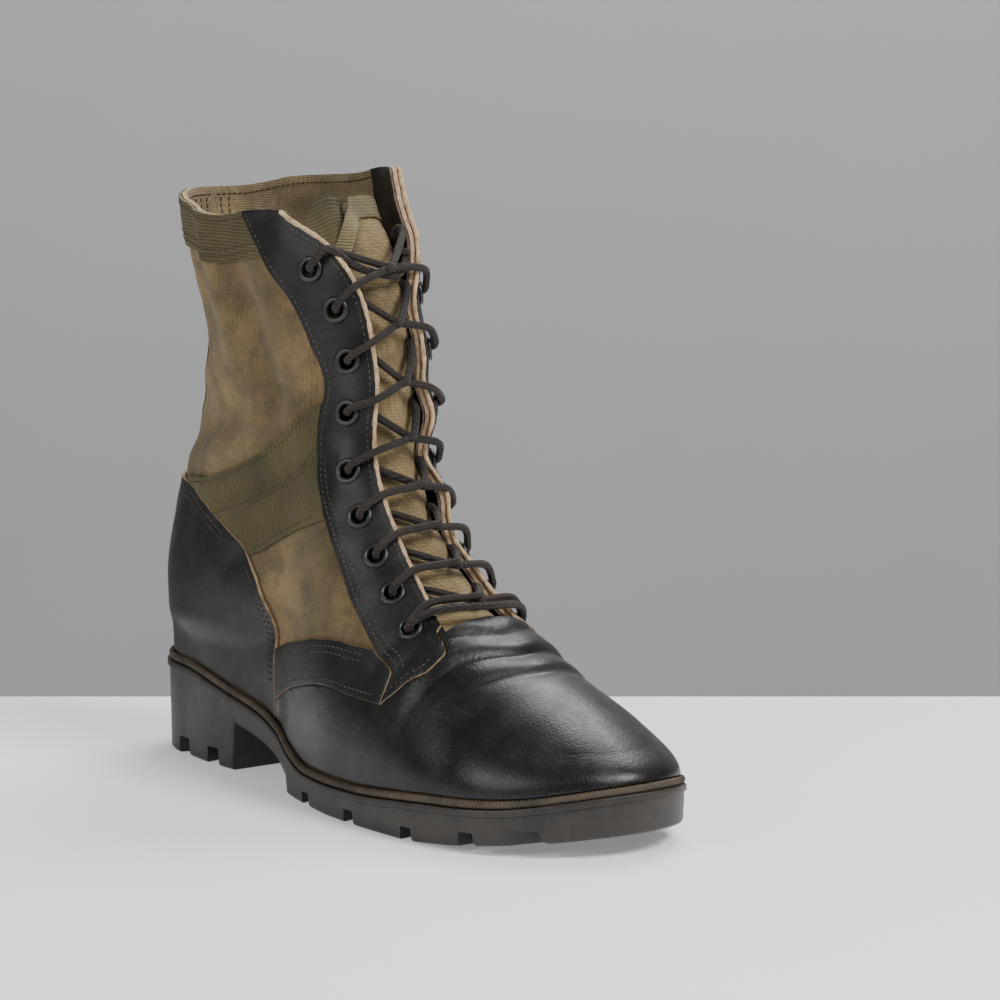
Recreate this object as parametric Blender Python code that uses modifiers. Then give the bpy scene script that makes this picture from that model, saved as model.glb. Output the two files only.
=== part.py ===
"""Right jungle boot: canvas and leather upper on a lugged rubber sole.

Frame: +X towards the toe, +Y to the wearer's left (the inner side of a right boot), +Z up.
The origin is the centre of the heel's tread, on the floor. The form functions below count
x from the back of the sole, and the finished pieces are set back by HEEL_REST_X.
"""
import math

import bmesh
import bpy
import numpy as np
from mathutils import Matrix, Vector

# Driving dimensions, in metres
SOLE_LENGTH = 0.305
BALL_WIDTH = 0.107
SHAFT_HEIGHT = 0.250
SHAFT_WIDTH = 0.070
SOLE_RISE = 0.040
HEEL_REST_X = 0.036
BAND = 0.0115
LEDGE = 0.005
WELT_HEIGHT = 0.0034
UPPER_WALL = 0.0018
LEATHER = 0.0016
WEBBING = 0.0012
INSOLE = 0.003
TONGUE_WALL = 0.0016
EYELET_RADIUS = 0.0055
EYELET_HOLE = 0.0029
EYELET_RIM = 0.0008
EYELET_COUNT = 9
EYELET_SIDES = 8
LACE_RADIUS = 0.0016
LUG_DEPTH = 0.0055
GAP = 0.0003
SEAM_GAP = 0.0005
PANEL_GAP = 0.00045
FEATHER_LIFT = 0.0008
WELT_CLEAR = 0.0010

RIBS = 27
ROWS = 11
LATERAL, MEDIAL = -1, 1

# Edge of the sole: share of the length, outer and inner share of the ball width
OUTLINE = [
    (0.115, 0.325, 0.327), (0.197, 0.346, 0.332), (0.295, 0.341, 0.308), (0.361, 0.364, 0.280),
    (0.426, 0.430, 0.276), (0.492, 0.481, 0.285), (0.574, 0.523, 0.327), (0.656, 0.533, 0.393),
    (0.738, 0.528, 0.453), (0.803, 0.500, 0.472)]
HEEL_END = OUTLINE[0][0] * SOLE_LENGTH
TOE_START = OUTLINE[-1][0] * SOLE_LENGTH
HEEL_ROUND = 2.15
TOE_ROUND = {LATERAL: 1.72, MEDIAL: 2.0}

# Line down the middle: share of the length, y as a share of the ball width
CENTRE = [(0.0, 0.0), (0.3, 0.0), (0.5, -0.019), (0.65, -0.019), (0.8, 0.010), (1.0, 0.033)]

# Top of the sole: share of the length, share of the sole's rise
RIM = [
    (0.0, 1.0), (0.131, 0.963), (0.246, 0.793), (0.328, 0.650), (0.410, 0.450), (0.492, 0.313),
    (0.623, 0.325), (0.754, 0.400), (0.885, 0.463), (1.0, 0.638)]

# Underside in front of the shank: share of the length, share of the sole's rise
TREAD = [(0.46, 0.0), (0.72, 0.0), (0.80, 0.035), (0.88, 0.10), (0.94, 0.155), (1.0, 0.23)]
BREAST = 0.246
TREAD_BACK = 0.415

# Foot: share of the length, height of the ridge as a share of the shaft, power of the section
FOOT = [
    (0.0, 0.600, 2.6), (0.328, 0.600, 2.6), (0.459, 0.596, 2.4), (0.498, 0.552, 2.3),
    (0.541, 0.484, 2.2), (0.590, 0.412, 2.2), (0.639, 0.356, 2.25), (0.689, 0.319, 2.25),
    (0.738, 0.280, 2.1), (0.803, 0.238, 2.0), (0.869, 0.211, 2.05), (0.934, 0.190, 2.2),
    (1.0, 0.170, 2.4)]

# Shaft: share of its height, back and front as shares of the length, outer and inner side
# as shares of the shaft's width, power of the section
SHAFT = [
    (0.12, 0.039, 0.36, 0.330, 0.330, 2.3), (0.176, 0.031, 0.37, 0.380, 0.370, 2.3),
    (0.208, 0.015, 0.38, 0.445, 0.430, 2.35), (0.252, 0.004, 0.40, 0.510, 0.485, 2.35),
    (0.34, 0.016, 0.44, 0.505, 0.485, 2.3), (0.44, 0.044, 0.475, 0.470, 0.457, 2.2),
    (0.54, 0.064, 0.490, 0.443, 0.443, 2.2), (0.64, 0.075, 0.490, 0.440, 0.446, 2.2),
    (0.74, 0.069, 0.480, 0.460, 0.464, 2.2), (0.84, 0.049, 0.462, 0.486, 0.486, 2.2),
    (0.94, 0.031, 0.438, 0.500, 0.500, 2.2), (1.02, 0.022, 0.415, 0.503, 0.514, 2.2)]

# Blend of foot and shaft: share of the shaft's height, radius
BLEND = [(0.0, 0.002), (0.22, 0.002), (0.34, 0.010), (1.0, 0.012)]

# Collar edge: share of the length, height on the outer and the inner side as shares
COLLAR = [(0.040, 0.972, 0.972), (0.10, 0.962, 0.990), (0.22, 0.944, 1.002), (0.31, 0.960, 1.020),
          (0.40, 0.965, 1.026)]
COLLAR_CORNER = {LATERAL: 0.960, MEDIAL: 1.020}

# Throat: share of the shaft's height, half opening outwards and inwards as shares of its width
THROAT = [
    (0.30, 0.300, 0.285), (0.356, 0.257, 0.220), (0.40, 0.243, 0.200), (0.50, 0.230, 0.175),
    (0.60, 0.190, 0.172), (0.70, 0.145, 0.180), (0.78, 0.157, 0.210), (0.845, 0.200, 0.240),
    (0.904, 0.290, 0.290), (0.960, 0.425, 0.350), (1.02, 0.450, 0.400)]
THROAT_FOOT = 0.685
RIDGE_FRONT = 0.860

# Ribs of the upper: share along the feather edge from toe to heel, stop along the top line
# (0 to 1 ridge, 1 to 2 across the vamp, 2 to 3 throat, 3 to 4 collar)
RIB_STOPS = [(0.0, 0.0), (0.10, 0.28), (0.185, 0.64), (0.2593, 1.0), (0.2963, 2.0), (0.44, 2.24),
             (0.53, 2.42), (0.62, 2.68), (0.72, 3.0), (1.0, 4.0)]

# Panel edges in side view. Heights are shares of the shaft, lengths shares of the sole
EYESTAY_REAR = [
    (0.18, 0.660), (0.244, 0.659), (0.272, 0.620), (0.312, 0.580), (0.348, 0.548),
    (0.416, 0.502), (0.460, 0.472), (0.504, 0.443), (0.544, 0.426), (0.600, 0.420),
    (0.672, 0.426), (0.748, 0.403), (0.816, 0.370), (0.872, 0.331), (0.916, 0.302),
    (0.952, 0.282), (1.05, 0.270)]
TAB_FRONT = [
    (0.18, 0.655), (0.200, 0.662), (0.216, 0.675), (0.236, 0.689), (0.252, 0.705),
    (0.272, 0.708), (0.292, 0.694), (0.308, 0.676), (0.330, 0.670)]
CANVAS_FOOT = [
    (0.30, 0.205), (0.344, 0.224), (0.400, 0.248), (0.459, 0.264), (0.502, 0.276),
    (0.548, 0.280), (0.587, 0.276), (0.680, 0.272)]
BAND_FOOT = [
    (0.30, 0.130), (0.351, 0.144), (0.397, 0.168), (0.462, 0.192), (0.508, 0.204),
    (0.548, 0.208), (0.580, 0.204), (0.680, 0.196)]
COUNTER_TOP = [(0.0, 0.484), (0.125, 0.468), (0.167, 0.448), (0.226, 0.420), (0.269, 0.396),
               (0.360, 0.335)]
COUNTER_FRONT = [(0.0, 0.345), (0.14, 0.352), (0.240, 0.350), (0.292, 0.338), (0.332, 0.318),
                 (0.364, 0.295), (0.396, 0.269), (0.500, 0.180)]
WEBBING_TOP = [(0.0, 0.478), (0.151, 0.488), (0.216, 0.508), (0.292, 0.544), (0.357, 0.588),
               (0.387, 0.624), (0.430, 0.652)]
WEBBING_FOOT = [(0.0, 0.330), (0.295, 0.380), (0.361, 0.416), (0.407, 0.440), (0.470, 0.464)]
COLLAR_BAND = 0.020
BACKSTAY_HALF = 0.011
EYELET_SEAT = 0.0009
TONGUE_CLEAR = 0.0030
EYELET_INSET = 0.0115

# Eyelets: share of the row from the lowest up, share of the throat's edge
EYELET_STOPS = [(0.0, 0.046), (0.375, 0.318), (0.5, 0.407), (0.75, 0.628), (1.0, 0.862)]

# Tongue: stop along the front line (0 at its foot under the vamp, 1 at its top), half width,
# and how far the top leans back from the front, as shares of the shaft's width
TONGUE = [(0.0, 0.30, 0.0), (0.25, 0.33, 0.0), (0.5, 0.36, 0.0), (0.78, 0.38, 0.02),
          (0.9, 0.40, 0.12), (1.0, 0.42, 0.26)]
TONGUE_FOOT = 0.725
TONGUE_TOP = 0.985
TONGUE_STEPS = 15
TONGUE_COLUMNS = 8

# Gaps between the lugs: share of the length, sides, sweep in degrees
LUG_GAPS = [(0.485, 16), (0.610, 14), (0.738, 10), (0.846, -4), (0.926, -24)]
LUG_GAP_WIDTH = 0.0058
LUG_GAP_REACH = 0.026
HEEL_GAPS = [(0.112, -22), (0.195, 14)]
HEEL_GAP_WIDTH = 0.0075
HEEL_GAP_REACH = 0.015
HEEL_GAP_DEPTH = 0.0075


def smooth(table, column, at):
    """Monotone cubic through a table's rows, read at one place or many."""
    rows = np.asarray(table, float)
    x, y = rows[:, 0], rows[:, column]
    step = np.diff(x)
    slope = np.diff(y) / step
    tangent = np.zeros_like(y)
    tangent[0], tangent[-1] = slope[0], slope[-1]
    left, right = 2 * step[1:] + step[:-1], step[1:] + 2 * step[:-1]
    same = slope[:-1] * slope[1:] > 0
    safe_left = np.where(same, slope[:-1], 1.0)
    safe_right = np.where(same, slope[1:], 1.0)
    mean = (left + right) / (left / safe_left + right / safe_right)
    tangent[1:-1] = np.where(same, mean, 0.0)
    at = np.clip(np.asarray(at, float), x[0], x[-1])
    i = np.clip(np.searchsorted(x, at, side="right") - 1, 0, len(x) - 2)
    s = (at - x[i]) / step[i]
    start = (1 + 2 * s) * (1 - s) ** 2 * y[i] + s * (1 - s) ** 2 * step[i] * tangent[i]
    end = s * s * (3 - 2 * s) * y[i + 1] + s * s * (s - 1) * step[i] * tangent[i + 1]
    return start + end


def rim_z(x):
    """Height of the sole's top."""
    return smooth(RIM, 1, x / SOLE_LENGTH) * SOLE_RISE


def centre_y(x):
    """The line down the middle of foot and sole."""
    return smooth(CENTRE, 1, x / SOLE_LENGTH) * BALL_WIDTH


def half_width(x, side, inset):
    """From the middle line to the edge, inset, in the straight part of the outline."""
    column = 1 if side == LATERAL else 2
    return smooth(OUTLINE, column, x / SOLE_LENGTH) * BALL_WIDTH - inset - side * centre_y(x)


def outline_y(x, side, inset):
    """Edge of the sole, inset, at a length."""
    x = np.asarray(x, float)
    half = half_width(np.clip(x, HEEL_END, TOE_START), side, inset)
    toe = np.clip((x - TOE_START) / (SOLE_LENGTH - inset - TOE_START), 0, 1)
    heel = np.clip((HEEL_END - x) / (HEEL_END - inset), 0, 1)
    toe_round = TOE_ROUND[side]
    half = half * (1 - toe ** toe_round) ** (1 / toe_round)
    half = half * (1 - heel ** HEEL_ROUND) ** (1 / HEEL_ROUND)
    return centre_y(x) + side * half


def outline_share(x, y, inset):
    """1 on the inset outline, less inside it."""
    lateral = y < centre_y(x)
    straight = np.clip(x, HEEL_END, TOE_START)
    half = np.where(lateral, half_width(straight, LATERAL, inset),
                    half_width(straight, MEDIAL, inset))
    across = np.abs(y - centre_y(x)) / half
    toe = np.clip((x - TOE_START) / (SOLE_LENGTH - inset - TOE_START), 0, None)
    heel = np.clip((HEEL_END - x) / (HEEL_END - inset), 0, None)
    toe_power = np.where(lateral, TOE_ROUND[LATERAL], TOE_ROUND[MEDIAL])
    power = np.where(x > TOE_START, toe_power, HEEL_ROUND)
    return (across ** power + np.where(x > TOE_START, toe, heel) ** power) ** (1 / power)


def foot_form(x, y, z):
    """Signed, roughly in metres: the last's foot, a dome over the feather line."""
    floor = rim_z(x)
    rise = smooth(FOOT, 1, x / SOLE_LENGTH) * SHAFT_HEIGHT - floor
    power = smooth(FOOT, 2, x / SOLE_LENGTH)
    up = np.clip(z - floor, 0, None) / rise
    fullness = 1 + 0.03 * np.sin(np.pi * np.clip(up * 1.6, 0, 1))
    across = outline_share(x, y, LEDGE) / fullness
    return ((across ** power + up ** power) ** (1 / power) - 1) * SHAFT_WIDTH / 2


def shaft_form(x, y, z):
    """Signed, roughly in metres: heel cup, ankle and leg, by level sections."""
    level = z / SHAFT_HEIGHT
    back = smooth(SHAFT, 1, level) * SOLE_LENGTH
    front = smooth(SHAFT, 2, level) * SOLE_LENGTH
    half = np.where(y < 0, smooth(SHAFT, 3, level), smooth(SHAFT, 4, level)) * SHAFT_WIDTH
    power = smooth(SHAFT, 5, level)
    along = np.abs(x - (back + front) / 2) / ((front - back) / 2)
    return ((along ** power + (np.abs(y) / half) ** power) ** (1 / power) - 1) * SHAFT_WIDTH / 2


def form(points):
    """The upper's outer surface is where this is zero; inside it is negative."""
    x, y, z = points[..., 0], points[..., 1], points[..., 2]
    foot, shaft = foot_form(x, y, z), shaft_form(x, y, z)
    radius = smooth(BLEND, 1, z / SHAFT_HEIGHT)
    near = np.clip(radius - np.abs(foot - shaft), 0, None) / radius
    return np.minimum(foot, shaft) - near * near * radius / 4


def form_gradient(points):
    """Central differences of the form."""
    step = 1e-5
    parts = []
    for axis in range(3):
        shift = np.zeros(3)
        shift[axis] = step
        parts.append((form(points + shift) - form(points - shift)) / (2 * step))
    return np.stack(parts, axis=-1)


def settle(points, level=False):
    """Moves points onto the form's surface, or along it at their own height."""
    points = np.array(points, float)
    for _ in range(14):
        slope = form_gradient(points)
        if level:
            slope[..., 2] = 0
        size = np.maximum((slope ** 2).sum(-1, keepdims=True), 0.04)
        points = points - np.clip(form(points)[..., None] * slope / size, -0.01, 0.01)
    return points


def reach(starts, direction, far=0.35):
    """From inside the form, the last point along the direction that is still inside."""
    starts, direction = np.asarray(starts, float), np.asarray(direction, float)
    low = np.zeros(starts.shape[:-1])
    high = np.full(starts.shape[:-1], far)
    for _ in range(40):
        middle = (low + high) / 2
        inside = form(starts + middle[..., None] * direction) < 0
        low, high = np.where(inside, middle, low), np.where(inside, high, middle)
    return starts + low[..., None] * direction


def spaced(line, shares):
    """Points at shares of a polyline's length."""
    line = np.asarray(line, float)
    length = np.concatenate([[0], np.cumsum(np.linalg.norm(np.diff(line, axis=0), axis=1))])
    at = np.asarray(shares) * length[-1]
    return np.stack([np.interp(at, length, line[:, axis]) for axis in range(3)], axis=-1)


def feather_line(side, inset, lift):
    """The sole's edge, inset, from toe to heel, at a height above the sole's top."""
    quarter = np.linspace(0, math.pi / 2, 80)
    toe = TOE_START + (SOLE_LENGTH - inset - TOE_START) * np.cos(quarter)
    straight = np.linspace(TOE_START, HEEL_END, 80)[1:-1]
    heel = HEEL_END - (HEEL_END - inset) * np.sin(quarter)
    x = np.concatenate([toe, straight, heel])
    return np.stack([x, outline_y(x, side, inset), rim_z(x) + lift], axis=-1)


def throat_half(level, side):
    return smooth(THROAT, 1 if side == LATERAL else 2, level) * SHAFT_WIDTH


def top_line(side):
    """The upper's top edge in four stretches: ridge, across the vamp, throat, collar."""
    x = np.linspace(RIDGE_FRONT, THROAT_FOOT, 24) * SOLE_LENGTH
    ridge = reach(np.stack([x, centre_y(x), rim_z(x) + 0.01], -1), (0, 0, 1), 0.2)
    x = np.full(12, THROAT_FOOT * SOLE_LENGTH)
    across = centre_y(x) + side * np.linspace(0, 1, 12) * throat_half(THROAT[0][0], side)
    across = reach(np.stack([x, across, rim_z(x) + 0.01], -1), (0, 0, 1), 0.2)
    foot_level = across[-1, 2] / SHAFT_HEIGHT
    climb = np.linspace(0, 1, 80)
    level = foot_level + (COLLAR_CORNER[side] - foot_level) * climb
    sides = side * throat_half(level, side) + centre_y(x[0]) * (1 - climb)
    inner_x = np.full(80, 0.24 * SOLE_LENGTH)
    throat = reach(np.stack([inner_x, sides, level * SHAFT_HEIGHT], -1), (1, 0, 0), 0.2)
    throat[0] = across[-1]
    corner = throat[-1]
    middle_x = 0.2 * SOLE_LENGTH
    reach_x, reach_y = 0.2 * SOLE_LENGTH, SHAFT_WIDTH / 2
    start = math.atan2(abs(corner[1]) / reach_y, (corner[0] - middle_x) / reach_x)
    turn = np.linspace(start, math.pi, 50)
    collar = np.stack([middle_x + reach_x * np.cos(turn), side * reach_y * np.sin(turn),
                       np.full(50, SHAFT_HEIGHT)], -1)
    column = 1 if side == LATERAL else 2
    for _ in range(4):
        collar[:, 2] = smooth(COLLAR, column, collar[:, 0] / SOLE_LENGTH) * SHAFT_HEIGHT
        collar = settle(collar, level=True)
    collar[0] = corner
    collar[-1, 1] = 0
    return [ridge, across, throat, collar]


def rib_points(side, ribs=RIBS, rows=ROWS):
    """Grid of points on the upper's outer surface: ribs from toe to heel, rows upwards."""
    stretches = top_line(side)
    shares = np.linspace(0, 1, ribs + 1)
    feet = spaced(feather_line(side, LEDGE, FEATHER_LIFT), shares)
    tops = []
    for stop in smooth(RIB_STOPS, 1, shares):
        stretch = min(int(stop), 3)
        tops.append(spaced(stretches[stretch], [stop - stretch])[0])
    tops = np.array(tops)
    fine = np.linspace(0, 1, 61)[None, :, None]
    spread = np.linalg.norm((tops - feet)[:, :2], axis=1)[:, None]
    lean = np.clip(spread / 0.04, 0, 1)
    corner = np.concatenate([feet[:, :2], tops[:, 2:]], axis=1)
    corner = (feet + tops) / 2 * (1 - lean) + corner * lean
    curve = ((1 - fine) ** 2 * feet[:, None] + 2 * fine * (1 - fine) * corner[:, None]
             + fine ** 2 * tops[:, None])
    curve = settle(curve)
    curve[:, 0], curve[:, -1] = feet, tops
    curve[0, :, 1] = centre_y(curve[0, :, 0])
    curve[-1, :, 1] = 0
    return np.array([spaced(rib, np.linspace(0, 1, rows + 1)) for rib in curve])


GRIDS = {side: rib_points(side) for side in (LATERAL, MEDIAL)}


def upper_sheet(offset=0.0):
    """The upper's outer surface as one open sheet, moved out along its normals."""
    mesh = bmesh.new()
    for side, grid in GRIDS.items():
        rows = [[mesh.verts.new(point) for point in rib] for rib in grid]
        for rib, after in zip(rows[:-1], rows[1:]):
            for low in range(ROWS):
                quad = [rib[low], rib[low + 1], after[low + 1], after[low]]
                mesh.faces.new(quad if side == LATERAL else quad[::-1])
    bmesh.ops.remove_doubles(mesh, verts=mesh.verts, dist=1e-6)
    bmesh.ops.triangulate(mesh, faces=mesh.faces, quad_method="SHORT_EDGE")
    mesh.normal_update()
    places = [vert.co + vert.normal * offset for vert in mesh.verts]
    for vert, place in zip(mesh.verts, places):
        vert.co = place
    return mesh


def zero_shares(edges, values, field):
    """Where a field is zero along each edge that it changes sign on."""
    if not edges:
        return []
    start = np.array([edge.verts[0].co for edge in edges])
    end = np.array([edge.verts[1].co for edge in edges])
    sign = np.sign([values[edge.verts[0]] for edge in edges])
    low, high = np.zeros(len(edges)), np.ones(len(edges))
    for _ in range(24):
        middle = (low + high) / 2
        places = start + (end - start) * middle[:, None]
        same = field(places[:, 0], places[:, 1], places[:, 2]) * sign > 0
        low, high = np.where(same, middle, low), np.where(same, high, middle)
    return [float(share) for share in (low + high) / 2]


def split(mesh, field):
    """Cuts a sheet along a field's zero line and leaves both sides."""
    verts = list(mesh.verts)
    places = np.array([vert.co for vert in verts])
    values = dict(zip(verts, field(places[:, 0], places[:, 1], places[:, 2])))
    near_line = 0.0001
    for vert in verts:
        if abs(values[vert]) < near_line:
            values[vert] = 0.0
    crossed = [edge for edge in mesh.edges
               if values[edge.verts[0]] * values[edge.verts[1]] < 0]
    for edge, share in zip(crossed, zero_shares(crossed, values, field)):
        _, new = bmesh.utils.edge_split(edge, edge.verts[0], share)
        values[new] = 0.0
    line = [vert for vert, value in values.items() if value == 0.0]
    bmesh.ops.connect_verts(mesh, verts=line)


def clip(mesh, *fields):
    """Keeps the parts of a sheet where any of the fields is negative."""
    for field in fields:
        split(mesh, field)
    faces = list(mesh.faces)
    centres = np.array([face.calc_center_median() for face in faces])
    values = np.min([field(*centres.T) for field in fields], axis=0)
    outside = [face for face, value in zip(faces, values) if value > 0]
    bmesh.ops.delete(mesh, geom=outside, context="FACES")


def above(table):
    """Distance above a panel edge that is given as height over length."""
    def field(x, y, z):
        step = 0.0001
        height, before, after = [smooth(table, 1, (x + shift) / SOLE_LENGTH) * SHAFT_HEIGHT
                                 for shift in (0, -step, step)]
        return (z - height) / np.hypot(1, (after - before) / (2 * step))
    return field


def ahead(table):
    """Distance in front of a panel edge that is given as length over height."""
    def field(x, y, z):
        step = 0.0001
        length, below, over = [smooth(table, 1, (z + shift) / SHAFT_HEIGHT) * SOLE_LENGTH
                               for shift in (0, -step, step)]
        return (x - length) / np.hypot(1, (over - below) / (2 * step))
    return field


def beyond(field, gap=0.0):
    """Keeps what lies on the positive side of a field, a gap away from it."""
    return lambda x, y, z: gap - field(x, y, z)


OVER_COUNTER = above(COUNTER_TOP)
AHEAD_OF_COUNTER = ahead(COUNTER_FRONT)
OVER_BAND_FOOT = above(BAND_FOOT)
OVER_CANVAS_FOOT = above(CANVAS_FOOT)
OVER_WEBBING_TOP = above(WEBBING_TOP)
OVER_WEBBING_FOOT = above(WEBBING_FOOT)
AHEAD_OF_EYESTAY_REAR = ahead(EYESTAY_REAR)
AHEAD_OF_TAB = ahead(TAB_FRONT)


def collar_z(x, y):
    return np.where(y < 0, smooth(COLLAR, 1, x / SOLE_LENGTH),
                    smooth(COLLAR, 2, x / SOLE_LENGTH)) * SHAFT_HEIGHT


def below_welt(x, y, z):
    return rim_z(x) + WELT_HEIGHT + WELT_CLEAR - z


def behind_eyestay(x, y, z):
    return AHEAD_OF_EYESTAY_REAR(x, y, z) + SEAM_GAP


def on_side(side):
    return lambda x, y, z: -side * y


def material(name, colour, roughness, metallic=0.0):
    made = bpy.data.materials.new(name)
    made.use_nodes = True
    shader = made.node_tree.nodes["Principled BSDF"]
    shader.inputs["Base Color"].default_value = (*colour, 1.0)
    shader.inputs["Roughness"].default_value = roughness
    shader.inputs["Metallic"].default_value = metallic
    return made


CANVAS = material("canvas", (0.20, 0.15, 0.085), 0.9)
OLIVE = material("olive_webbing", (0.085, 0.072, 0.03), 0.85)
BLACK_LEATHER = material("black_leather", (0.018, 0.017, 0.016), 0.42)
RUBBER = material("sole_rubber", (0.028, 0.024, 0.022), 0.7)
WELT_CORD = material("welt_bead", (0.07, 0.05, 0.035), 0.75)
BOARD = material("insole_board", (0.16, 0.13, 0.09), 0.9)
TONGUE_CANVAS = material("tongue_canvas", (0.27, 0.21, 0.13), 0.9)
ENAMEL = material("black_enamel", (0.012, 0.012, 0.012), 0.3)
LACE_BROWN = material("lace_brown", (0.045, 0.032, 0.022), 0.85)


def collection(name):
    made = bpy.data.collections.new(name)
    bpy.context.scene.collection.children.link(made)
    return made


PARTS = None
CUTTERS = None
FRAME = None


def place(name, mesh, finish, group=None):
    """An object from a bmesh or a mesh, set back with the frame."""
    if isinstance(mesh, bmesh.types.BMesh):
        data = bpy.data.meshes.new(name)
        mesh.to_mesh(data)
        mesh.free()
    else:
        data = mesh
    made = bpy.data.objects.new(name, data)
    if finish is not None and not data.materials:
        data.materials.append(finish)
    (group or PARTS).objects.link(made)
    made.parent = FRAME
    return made


def thicken(piece, wall, outward):
    shell = piece.modifiers.new("wall", "SOLIDIFY")
    shell.thickness = wall
    shell.offset = 1.0 if outward else -1.0
    return shell


def cut(piece, cutter, operation="DIFFERENCE"):
    made = piece.modifiers.new("cut", "BOOLEAN")
    made.operation = operation
    made.solver = "EXACT"
    made.object = cutter


def as_cutter(piece):
    piece.hide_render = True
    piece.display_type = "WIRE"
    return piece


def panel(name, fields, wall, finish):
    """An overlay: part of the upper's surface, a gap outside it, with its own wall.

    It keeps what lies in every field, and of a tuple of fields in any one of them.
    """
    sheet = upper_sheet(PANEL_GAP)
    for field in fields:
        clip(sheet, *(field if isinstance(field, tuple) else (field,)))
    piece = place(name, sheet, finish)
    thicken(piece, wall, outward=True)
    return piece


def stations():
    """Shares of the sole's length where its sections lie, dense at the round ends."""
    toe = [1 - 0.197 * (1 - math.sin(t)) for t in np.linspace(0, math.pi / 2, 8)[1:]]
    heel = [0.115 * (1 - math.cos(t)) for t in np.linspace(0, math.pi / 2, 6)[:-1]]
    step = 0.0012
    middle = [0.115, 0.18, BREAST, BREAST + step, 0.30, 0.35, 0.385, TREAD_BACK,
              TREAD_BACK + step, 0.44, 0.47, 0.51, 0.56, 0.61, 0.66, 0.72, 0.765, 0.803]
    return sorted(set(heel + middle + toe))


def tread_z(share):
    """Underside of heel, shank and forefoot."""
    if share <= BREAST:
        return 0.0
    if share <= TREAD_BACK:
        return float(rim_z(share * SOLE_LENGTH)) - BAND
    return float(smooth(TREAD, 1, share)) * SOLE_RISE


def plan_loft(rings):
    """A solid from rings of the sole's outline, top to bottom: inset and height by share."""
    mesh = bmesh.new()
    shares = stations()
    levels = []
    for inset, height in rings:
        level = []
        for share in shares:
            x = inset + share * (SOLE_LENGTH - 2 * inset)
            z = height(share)
            ends = [float(outline_y(x, side, inset)) for side in (LATERAL, MEDIAL)]
            if share in (shares[0], shares[-1]):
                vert = mesh.verts.new((x, (ends[0] + ends[1]) / 2, z))
                level.append((vert, vert))
            else:
                level.append(tuple(mesh.verts.new((x, y, z)) for y in ends))
        levels.append(level)

    def face(*verts):
        mesh.faces.new(list(dict.fromkeys(verts)))

    for i in range(len(shares) - 1):
        for upper, lower in zip(levels[:-1], levels[1:]):
            for side in (0, 1):
                face(upper[i][side], upper[i + 1][side], lower[i + 1][side], lower[i][side])
        for level in (levels[0], levels[-1]):
            face(level[i][0], level[i + 1][0], level[i + 1][1], level[i][1])
    bmesh.ops.recalc_face_normals(mesh, faces=mesh.faces)
    return mesh


def groove(mesh, centre, width, length, depth, sweep, side):
    """One tapered bar for a gap between lugs, from outside the edge towards the middle."""
    flare = 1.5
    made = bmesh.ops.create_cube(mesh, size=1.0)["verts"]
    for vert in made:
        spread = flare if vert.co.z < 0 else 1.0
        vert.co = Vector((vert.co.x * width * spread, vert.co.y * length, vert.co.z * depth * 2))
    turn = Matrix.Rotation(math.radians(-side * sweep), 4, "Z")
    bmesh.ops.transform(mesh, matrix=Matrix.Translation(centre) @ turn, verts=made)


def make_outsole():
    lip, step = 0.0026, 0.0006
    rings = [
        (0.0, lambda s: float(rim_z(s * SOLE_LENGTH))),
        (0.0, lambda s: float(rim_z(s * SOLE_LENGTH)) - lip),
        (0.0008, lambda s: float(rim_z(s * SOLE_LENGTH)) - lip - step),
        (0.0014, tread_z)]
    sole = place("outsole", plan_loft(rings), RUBBER)
    bars = bmesh.new()
    overhang = 0.012
    for gaps, width, reach_in, depth in (
            (LUG_GAPS, LUG_GAP_WIDTH, LUG_GAP_REACH, LUG_DEPTH),
            (HEEL_GAPS, HEEL_GAP_WIDTH, HEEL_GAP_REACH, HEEL_GAP_DEPTH)):
        for share, sweep in gaps:
            for side in (LATERAL, MEDIAL):
                x = share * SOLE_LENGTH
                edge = float(outline_y(x, side, 0))
                length = reach_in + overhang
                y = edge - side * (reach_in - overhang) / 2
                centre = Vector((x, y, tread_z(share)))
                groove(bars, centre, width, length, depth, sweep, side)
    cutter = as_cutter(place("lug_gaps", bars, None, CUTTERS))
    cut(sole, cutter)
    return sole


def ring_strip(profile, count):
    """A closed strip along the sole's edge: profile of inset and height over the rim."""
    mesh = bmesh.new()
    sections = []
    shares = np.linspace(0, 1, count + 1)
    for side in (LATERAL, MEDIAL):
        lines = [spaced(feather_line(side, inset, lift), shares) for inset, lift in profile]
        half = [[mesh.verts.new(line[i]) for line in lines] for i in range(count + 1)]
        if side == LATERAL:
            sections += half
        else:
            sections += half[::-1][1:-1]
    for section, after in zip(sections, sections[1:] + sections[:1]):
        for i in range(len(profile)):
            j = (i + 1) % len(profile)
            mesh.faces.new([section[i], section[j], after[j], after[i]])
    spare = [vert for vert in mesh.verts if not vert.link_faces]
    bmesh.ops.delete(mesh, geom=spare, context="VERTS")
    bmesh.ops.recalc_face_normals(mesh, faces=mesh.faces)
    return mesh


def make_welt():
    inner = LEDGE - GAP
    profile = [(0.0008, GAP), (0.0002, 0.0014), (0.0009, 0.0029), (0.0022, WELT_HEIGHT),
               (inner - 0.0014, 0.0027), (inner, GAP)]
    return place("welt", ring_strip(profile, 26), WELT_CORD)


def make_insole():
    inset = LEDGE + UPPER_WALL + 3 * GAP
    rings = [(inset, lambda s: float(rim_z(s * SOLE_LENGTH)) + GAP + INSOLE),
             (inset, lambda s: float(rim_z(s * SOLE_LENGTH)) + GAP)]
    return place("insole", plan_loft(rings), BOARD)


def unit(vectors):
    return vectors / np.linalg.norm(vectors, axis=-1, keepdims=True)


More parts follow.
